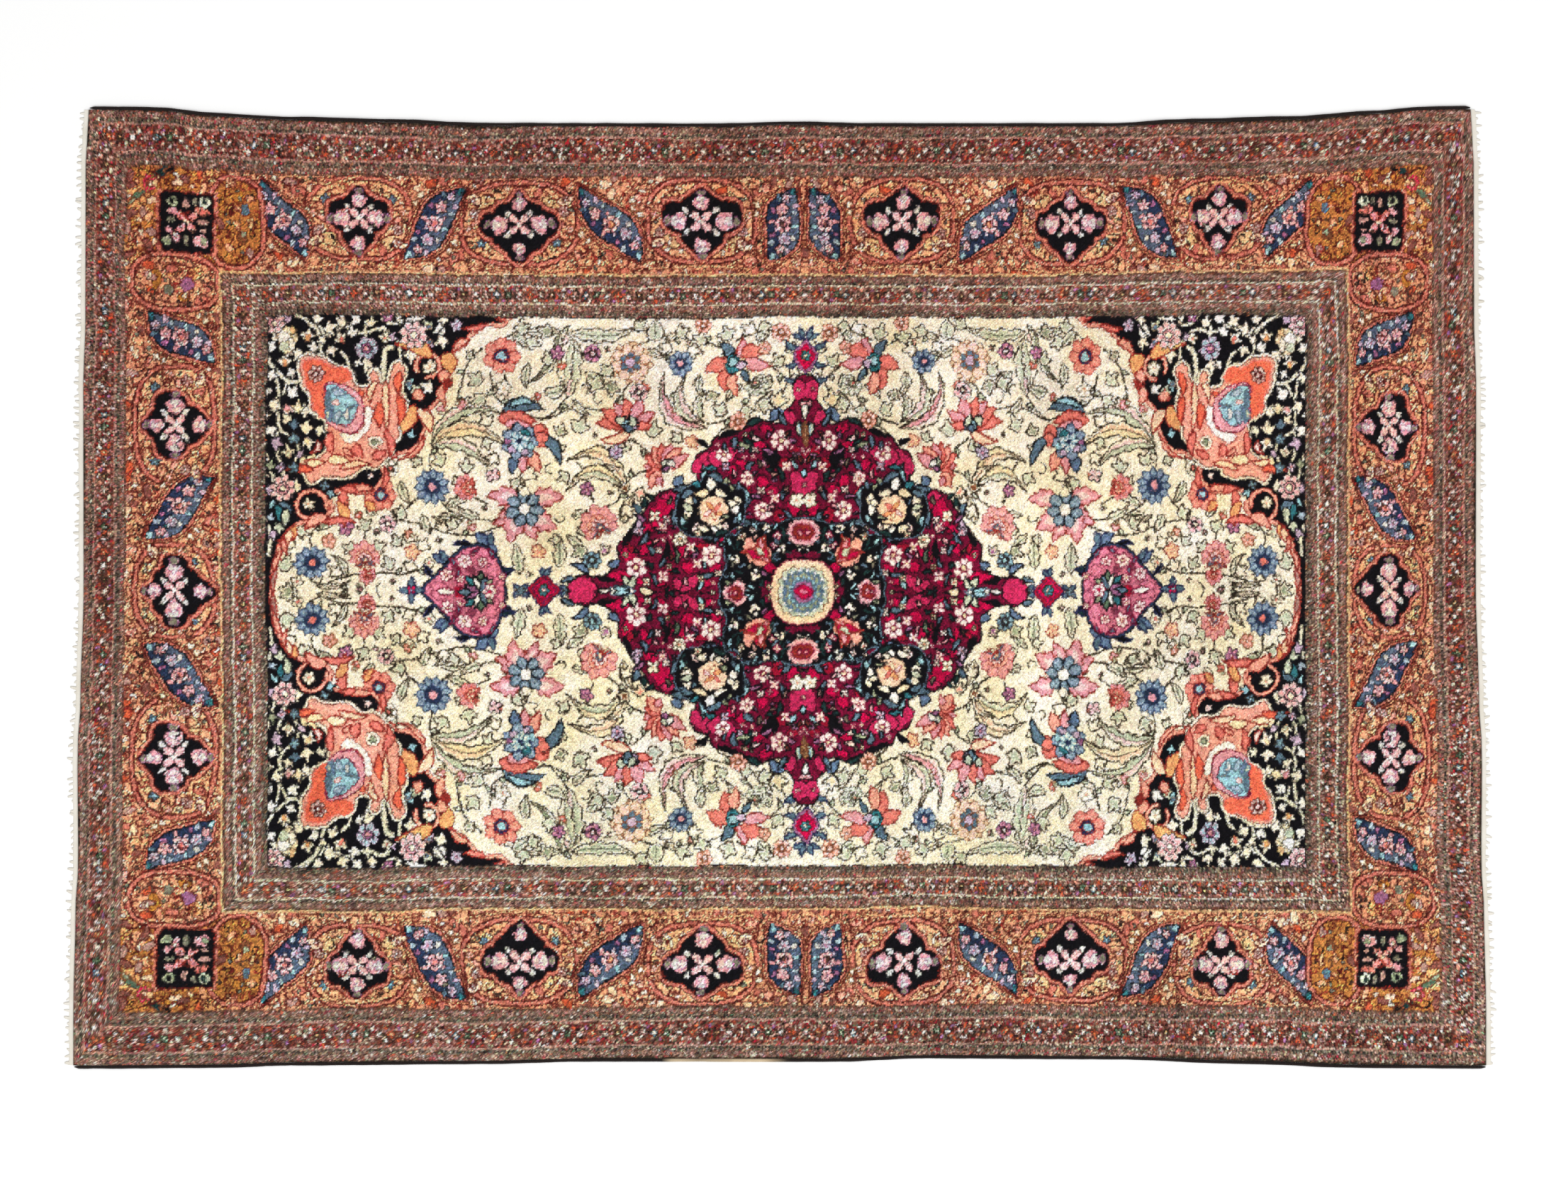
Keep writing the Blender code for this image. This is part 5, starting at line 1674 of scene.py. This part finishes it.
# the cloth under the pile as one closed slab: the back as a grid, its rim carried up by rings
# moved outwards along the outline's own normal, and a flat top that the pile hides
def makeBack():
    size = backPlan["squareMm"]
    (firstOut, firstHigh), *rings = backPlan["rings"]
    u, v = np.meshgrid(np.linspace(-halfLong, halfLong, int(2 * halfLong / size)),
                       np.linspace(-halfWide, halfWide, int(2 * halfWide / size)))
    index = np.arange(u.size).reshape(u.shape)
    loop = np.concatenate([index[0, :-1], index[:-1, -1], index[-1, :0:-1], index[:0:-1, 0]])
    x, y = (part.ravel() for part in laidOut(u, v))
    rim = np.stack([x[loop], y[loop]], -1)
    tangent = np.roll(rim, -1, 0) - np.roll(rim, 1, 0)
    outward = np.stack([tangent[:, 1], -tangent[:, 0]], -1) / np.hypot(*tangent.T)[:, None]
    places = [np.stack([x, y, np.full(x.size, firstHigh)], -1)]
    places[0][loop, :2] += outward * firstOut
    for out, height in rings:
        places.append(np.hstack([rim + outward * out, np.full((loop.size, 1), height)]))
    quads = corners(index)[..., [0, 3, 2, 1]].reshape(-1, 4)
    faces, below = [quads], loop
    for n in range(len(rings)):
        above = u.size + n * loop.size + np.arange(loop.size)
        faces.append(np.stack([below, np.roll(below, -1), np.roll(above, -1), above], -1))
        below = above
    every = np.vstack(faces)
    piece = newPiece("clothBack", np.vstack(places), every.tolist() + [below.tolist()], pileWool)
    allU, allV = (np.concatenate([flat] + [flat[loop]] * len(rings)) for flat in (u.ravel(), v.ravel()))
    rgb = dyedAt(allU, allV)[np.concatenate([every.ravel(), below])]
    rgb[:quads.size] = dyedAt((allU[quads] @ readings.T).ravel(), (allV[quads] @ readings.T).ravel())
    giveDye(piece, rgb * backPlan["shade"])
    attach(piece, "root")
    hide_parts("pile")
    following = np.roll(rim, -1, 0)
    area = abs(np.sum(rim[:, 0] * following[:, 1] - following[:, 0] * rim[:, 1])) / 2e6
    return piece, area


cordPlan = {
    "wide": 4.8, "high": 5.2, "gap": 0.3,      # millimetres
    "stepMm": 7.0, "sides": 12, "tipMm": 7,
    "wornFrom": -215.0, "wornTo": -5.0,        # near side, where the wraps have worn through
}


# a flattened round carried along a side: half-axes swell by soft noise, drawn in over its last stretch
def makeCord(name, node, sign):
    table = farEdge if sign > 0 else nearEdge
    low, high = (edge[0] * 1000 + 0.3 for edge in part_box(node))
    x = np.linspace(low, high - 0.3, np.arange(low, high, cordPlan["stepMm"]).size)
    turn = np.linspace(0, 2 * np.pi, cordPlan["sides"], endpoint=False)[:, None]
    swell = 1 + 0.10 * softNoise(x, x * 0, 23, 501 + sign) + 0.05 * softNoise(x, x * 0, 9, 511 + sign)
    tip = np.minimum(np.minimum(x - low, high - x) / cordPlan["tipMm"], 1)
    swell = swell * np.sqrt(np.clip(1 - (1 - tip) ** 2, 0.02, 1))
    middle = np.interp(x, *table) + sign * (cordPlan["gap"] + cordPlan["wide"] / 2)
    y = middle + cordPlan["wide"] / 2 * swell * np.cos(turn) * 0.96
    z = cordPlan["high"] / 2 * swell * (1 + np.sin(turn) * 0.97)
    piece = gridPiece(name, np.broadcast_to(x, y.shape), y, z, cordWool, 6, True)
    worn = eased(-1, 1, (x - cordPlan["wornFrom"]) / 20) * eased(-1, 1, (cordPlan["wornTo"] - x) / 20)
    worn = worn * eased(-0.5, 0.1, softNoise(x, x * 0, 38, 521)) if sign < 0 else worn * 0
    layer = piece.data.attributes.new("worn", "FLOAT", "POINT")
    layer.data.foreach_set("value", np.broadcast_to(worn, y.shape).astype(np.float32).ravel())
    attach(piece, "root")
    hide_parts(node)
    return piece


endPlan = {
    "gap": 0.3, "bandMm": 7.0, "bandHigh": 2.0, "stepMm": 5.0,
    "locks": 148, "lockWide": 5.2, "reach": 6.2, "lean": 3.0,
    "rootMm": 2.5, "rings": 5, "sides": 5,     # how far a lock starts inside the band, and how it is cut
}
# the band's profile: outwards as a share of its width, and height as a share of its own
bandOut = (0.0, 0.0, 0.25, 0.6, 0.93, 1.0, 1.0, 0.5)
bandUp = (0.12, 0.9, 1.0, 0.95, 0.85, 0.6, 0.12, 0.1)


# the woven band: a low flat profile carried across the end, its outer edge uneven by soft noise
def makeBand(name, node, sign):
    table = rightEdge if sign > 0 else leftEdge
    low, high = (edge[1] * 1000 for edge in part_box(node))
    y = np.linspace(low + 0.4, high - 0.4, int((high - low) / endPlan["stepMm"]))
    wide = endPlan["bandMm"] + 0.7 * softNoise(y, y * 0, 17, 601 + sign)
    x = sign * (np.interp(y, *table) * sign + endPlan["gap"] + np.array(bandOut)[:, None] * wide)
    height = np.array(bandUp)[:, None] * endPlan["bandHigh"]
    z = height * (1 + 0.08 * softNoise(y, y * 0, 11, 611 + sign))
    x, y, z = (part[::-sign] for part in np.broadcast_arrays(x, y[None, :], z))
    return gridPiece(name, x, y, z, cotton, 4, True)


# worn warp ends: every lock a tapering flattened tube that leans and lifts a little
def makeLocks(name, node, sign):
    table = rightEdge if sign > 0 else leftEdge
    low, high = (edge[1] * 1000 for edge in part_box(node))
    dice = np.random.default_rng(31 + sign)
    count, rings, sides = endPlan["locks"], endPlan["rings"], endPlan["sides"]
    pitch = (high - low) / count
    middle = low + (np.arange(count) + 0.5 + dice.uniform(-0.3, 0.3, count)) * pitch
    reach = endPlan["reach"] * dice.uniform(0.35, 1.4, count) + endPlan["rootMm"]
    lean = dice.uniform(-1, 1, count) * endPlan["lean"]
    lean[[0, -1]] = 0
    wide = endPlan["lockWide"] * dice.uniform(0.8, 1.15, count)
    start = np.interp(middle, *table) * sign + endPlan["gap"] + endPlan["bandMm"] - endPlan["rootMm"]
    middle, reach, lean, wide, start = (part[:, None, None] for part in (middle, reach, lean, wide, start))
    share = np.linspace(0, 1, rings)[None, :, None]
    turn = np.linspace(0, 2 * np.pi, sides, endpoint=False)[None, None, :]
    x = start + reach * share + 0 * turn
    y = middle + lean * share ** 1.5 + wide * (1 - share ** 3 * 0.55) / 2 * np.cos(turn)
    z = 0.95 - 0.25 * share + 0.75 * (1 - 0.5 * share) * np.sin(turn) + 0 * x
    first = (np.arange(count) * rings * sides)[:, None]
    r, t = np.meshgrid(np.arange(rings - 1), np.arange(sides), indexing="ij")
    a, b = r * sides + t, r * sides + (t + 1) % sides
    quads = np.stack([a, b, b + sides, a + sides], -1).reshape(-1, 4)
    faces = (quads[None] + first[:, None]).reshape(-1, 4)
    tips = np.arange(sides)[None] + (rings - 1) * sides + first
    roots = np.arange(sides)[::-1][None] + first
    faces, tips, roots = (part[:, ::sign] for part in (faces, tips, roots))
    places = np.stack([x * sign, y, z], -1).reshape(-1, 3)
    return newPiece(name, places, faces.tolist() + tips.tolist() + roots.tolist(), cotton)


print("chart: drawing")
for draw in (drawBorder, drawField, drawCorners, drawPendants, drawMedallion, drawMiddle, medallionFiller,
             middleFiller, cornerFiller, fieldFiller, drawGuards):
    draw()
print("chart: drawn,", chart.knots.shape[1], "by", chart.knots.shape[0], "squares")

pileWool = makePileWool()
cordWool = makeCordWool()
cotton = makeCotton()

tilePlan = {"fieldMm": 2.3, "borderMm": 2.55, "guardMm": 3.0, "rimMm": 1.4}


# an even grid of design places between two corners
def patch(u0, u1, v0, v1, size):
    u = np.linspace(u0, u1, int(round(abs(u1 - u0) / size)) + 1)
    v = np.linspace(v0, v1, int(round(abs(v1 - v0) / size)) + 1)
    return np.meshgrid(u, v)


# one side of a ring between two rectangles, cut at its corners: ends spread as it goes outwards,
# and the last row is split once more so that the rim can dip
def mitredSide(low, high, side, size):
    axis = 1 if side in ("Far", "Near") else 0
    sign = 1 if side in ("Far", "Right") else -1
    width = high[axis] - low[axis]
    reach = (high[1 - axis] + low[1 - axis]) / 2
    place = np.linspace(-1, 1, int(round(2 * reach / size)) + 1)
    share = np.linspace(0, 1, int(round(width / size)) + 1)
    share = np.insert(share, -1, 1 - tilePlan["rimMm"] / width)[::sign]
    if axis == 1:
        s, w = np.meshgrid(place, share)
        return s * (low[0] + (high[0] - low[0]) * w), sign * (low[1] + width * w)
    w, s = np.meshgrid(share, place)
    return sign * (low[0] + width * w), s * (low[1] + (high[1] - low[1]) * w)


(fieldLong, fieldWide), (innerLong, innerWide) = ruled["field"], ruled["innerGuard"]
outerLong, outerWide = ruled["border"]
# name, design places of two corners, size of its squares, and how many stretches its map is cut into
plainTiles = [
    ("fieldFarRight", 0, fieldLong, 0, fieldWide, "fieldMm", 1),
    ("fieldFarLeft", -fieldLong, 0, 0, fieldWide, "fieldMm", 1),
    ("fieldNearRight", 0, fieldLong, -fieldWide, 0, "fieldMm", 1),
    ("fieldNearLeft", -fieldLong, 0, -fieldWide, 0, "fieldMm", 1),
    ("borderFar", -outerLong, outerLong, innerWide, outerWide, "borderMm", 4),
    ("borderNear", -outerLong, outerLong, -outerWide, -innerWide, "borderMm", 4),
    ("borderRight", innerLong, outerLong, -innerWide, innerWide, "borderMm", 1),
    ("borderLeft", -outerLong, -innerLong, -innerWide, innerWide, "borderMm", 1),
]
tiles = []
for name, u0, u1, v0, v1, kind, cuts in plainTiles:
    tiles.append(knottedTile(name, *patch(u0, u1, v0, v1, tilePlan[kind]), 700 + len(tiles), cuts))
for ringName, plan in zip(("outerGuard", "innerGuard"), guardPlan):
    for side, cuts in (("Far", 5), ("Near", 5), ("Right", 1), ("Left", 1)):
        places = mitredSide(plan["inside"], plan["outside"], side, tilePlan["guardMm"])
        tiles.append(knottedTile(ringName + side, *places, 700 + len(tiles), cuts))
print("pile:", len(tiles), "tiles")

back, backArea = makeBack()
cords = [makeCord("sideCordFar", "side_cord_far", 1), makeCord("sideCordNear", "side_cord_near", -1)]
for word, sign in (("Left", -1), ("Right", 1)):
    node = "warp_end_" + word.lower()
    for piece in (makeBand("wovenBand" + word, node, sign), makeLocks("warpLocks" + word, node, sign)):
        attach(piece, "root")
        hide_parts(node)
print("back, cords and ends done, cloth area", round(backArea, 3), "square metres")

studioPlan = {
    "floor": (0.985, 0.985, 0.98, 1), "world": 0.60, "lamp": 190.0, "lampSize": 6.0,
    "lampPlace": (0.4, -1.6, 4.7), "lens": 100.0, "frameWidth": 2.2784, "frameMiddle": (0.0062, -0.001),
}
bpy.ops.mesh.primitive_plane_add(size=30, location=(0, 0, 0))
floor = bpy.context.object
floor.name = "floor"
paper = Finish("floorPaper", 0.95)
paper.shader.inputs["Base Color"].default_value = studioPlan["floor"]
floor.data.materials.append(paper.material)

world = bpy.data.worlds.new("studio")
bpy.context.scene.world = world
world.use_nodes = True
world.node_tree.nodes["Background"].inputs["Color"].default_value = (1, 1, 1, 1)
world.node_tree.nodes["Background"].inputs["Strength"].default_value = studioPlan["world"]

lampData = bpy.data.lights.new("softLamp", "AREA")
lampData.size = studioPlan["lampSize"]
lampData.energy = studioPlan["lamp"]
lamp = bpy.data.objects.new("softLamp", lampData)
lamp.location = studioPlan["lampPlace"]
bpy.context.scene.collection.objects.link(lamp)

cameraData = bpy.data.cameras.new("photoCamera")
cameraData.lens = studioPlan["lens"]
cameraData.sensor_width = 36.0
camera = bpy.data.objects.new("photoCamera", cameraData)
distance = studioPlan["frameWidth"] / 2 / (cameraData.sensor_width / 2 / cameraData.lens)
camera.location = (*studioPlan["frameMiddle"], distance + 0.006)
cameraData.clip_end = 60
bpy.context.scene.collection.objects.link(camera)
bpy.context.scene.camera = camera
bpy.context.scene.view_settings.view_transform = "Standard"
print("studio set")
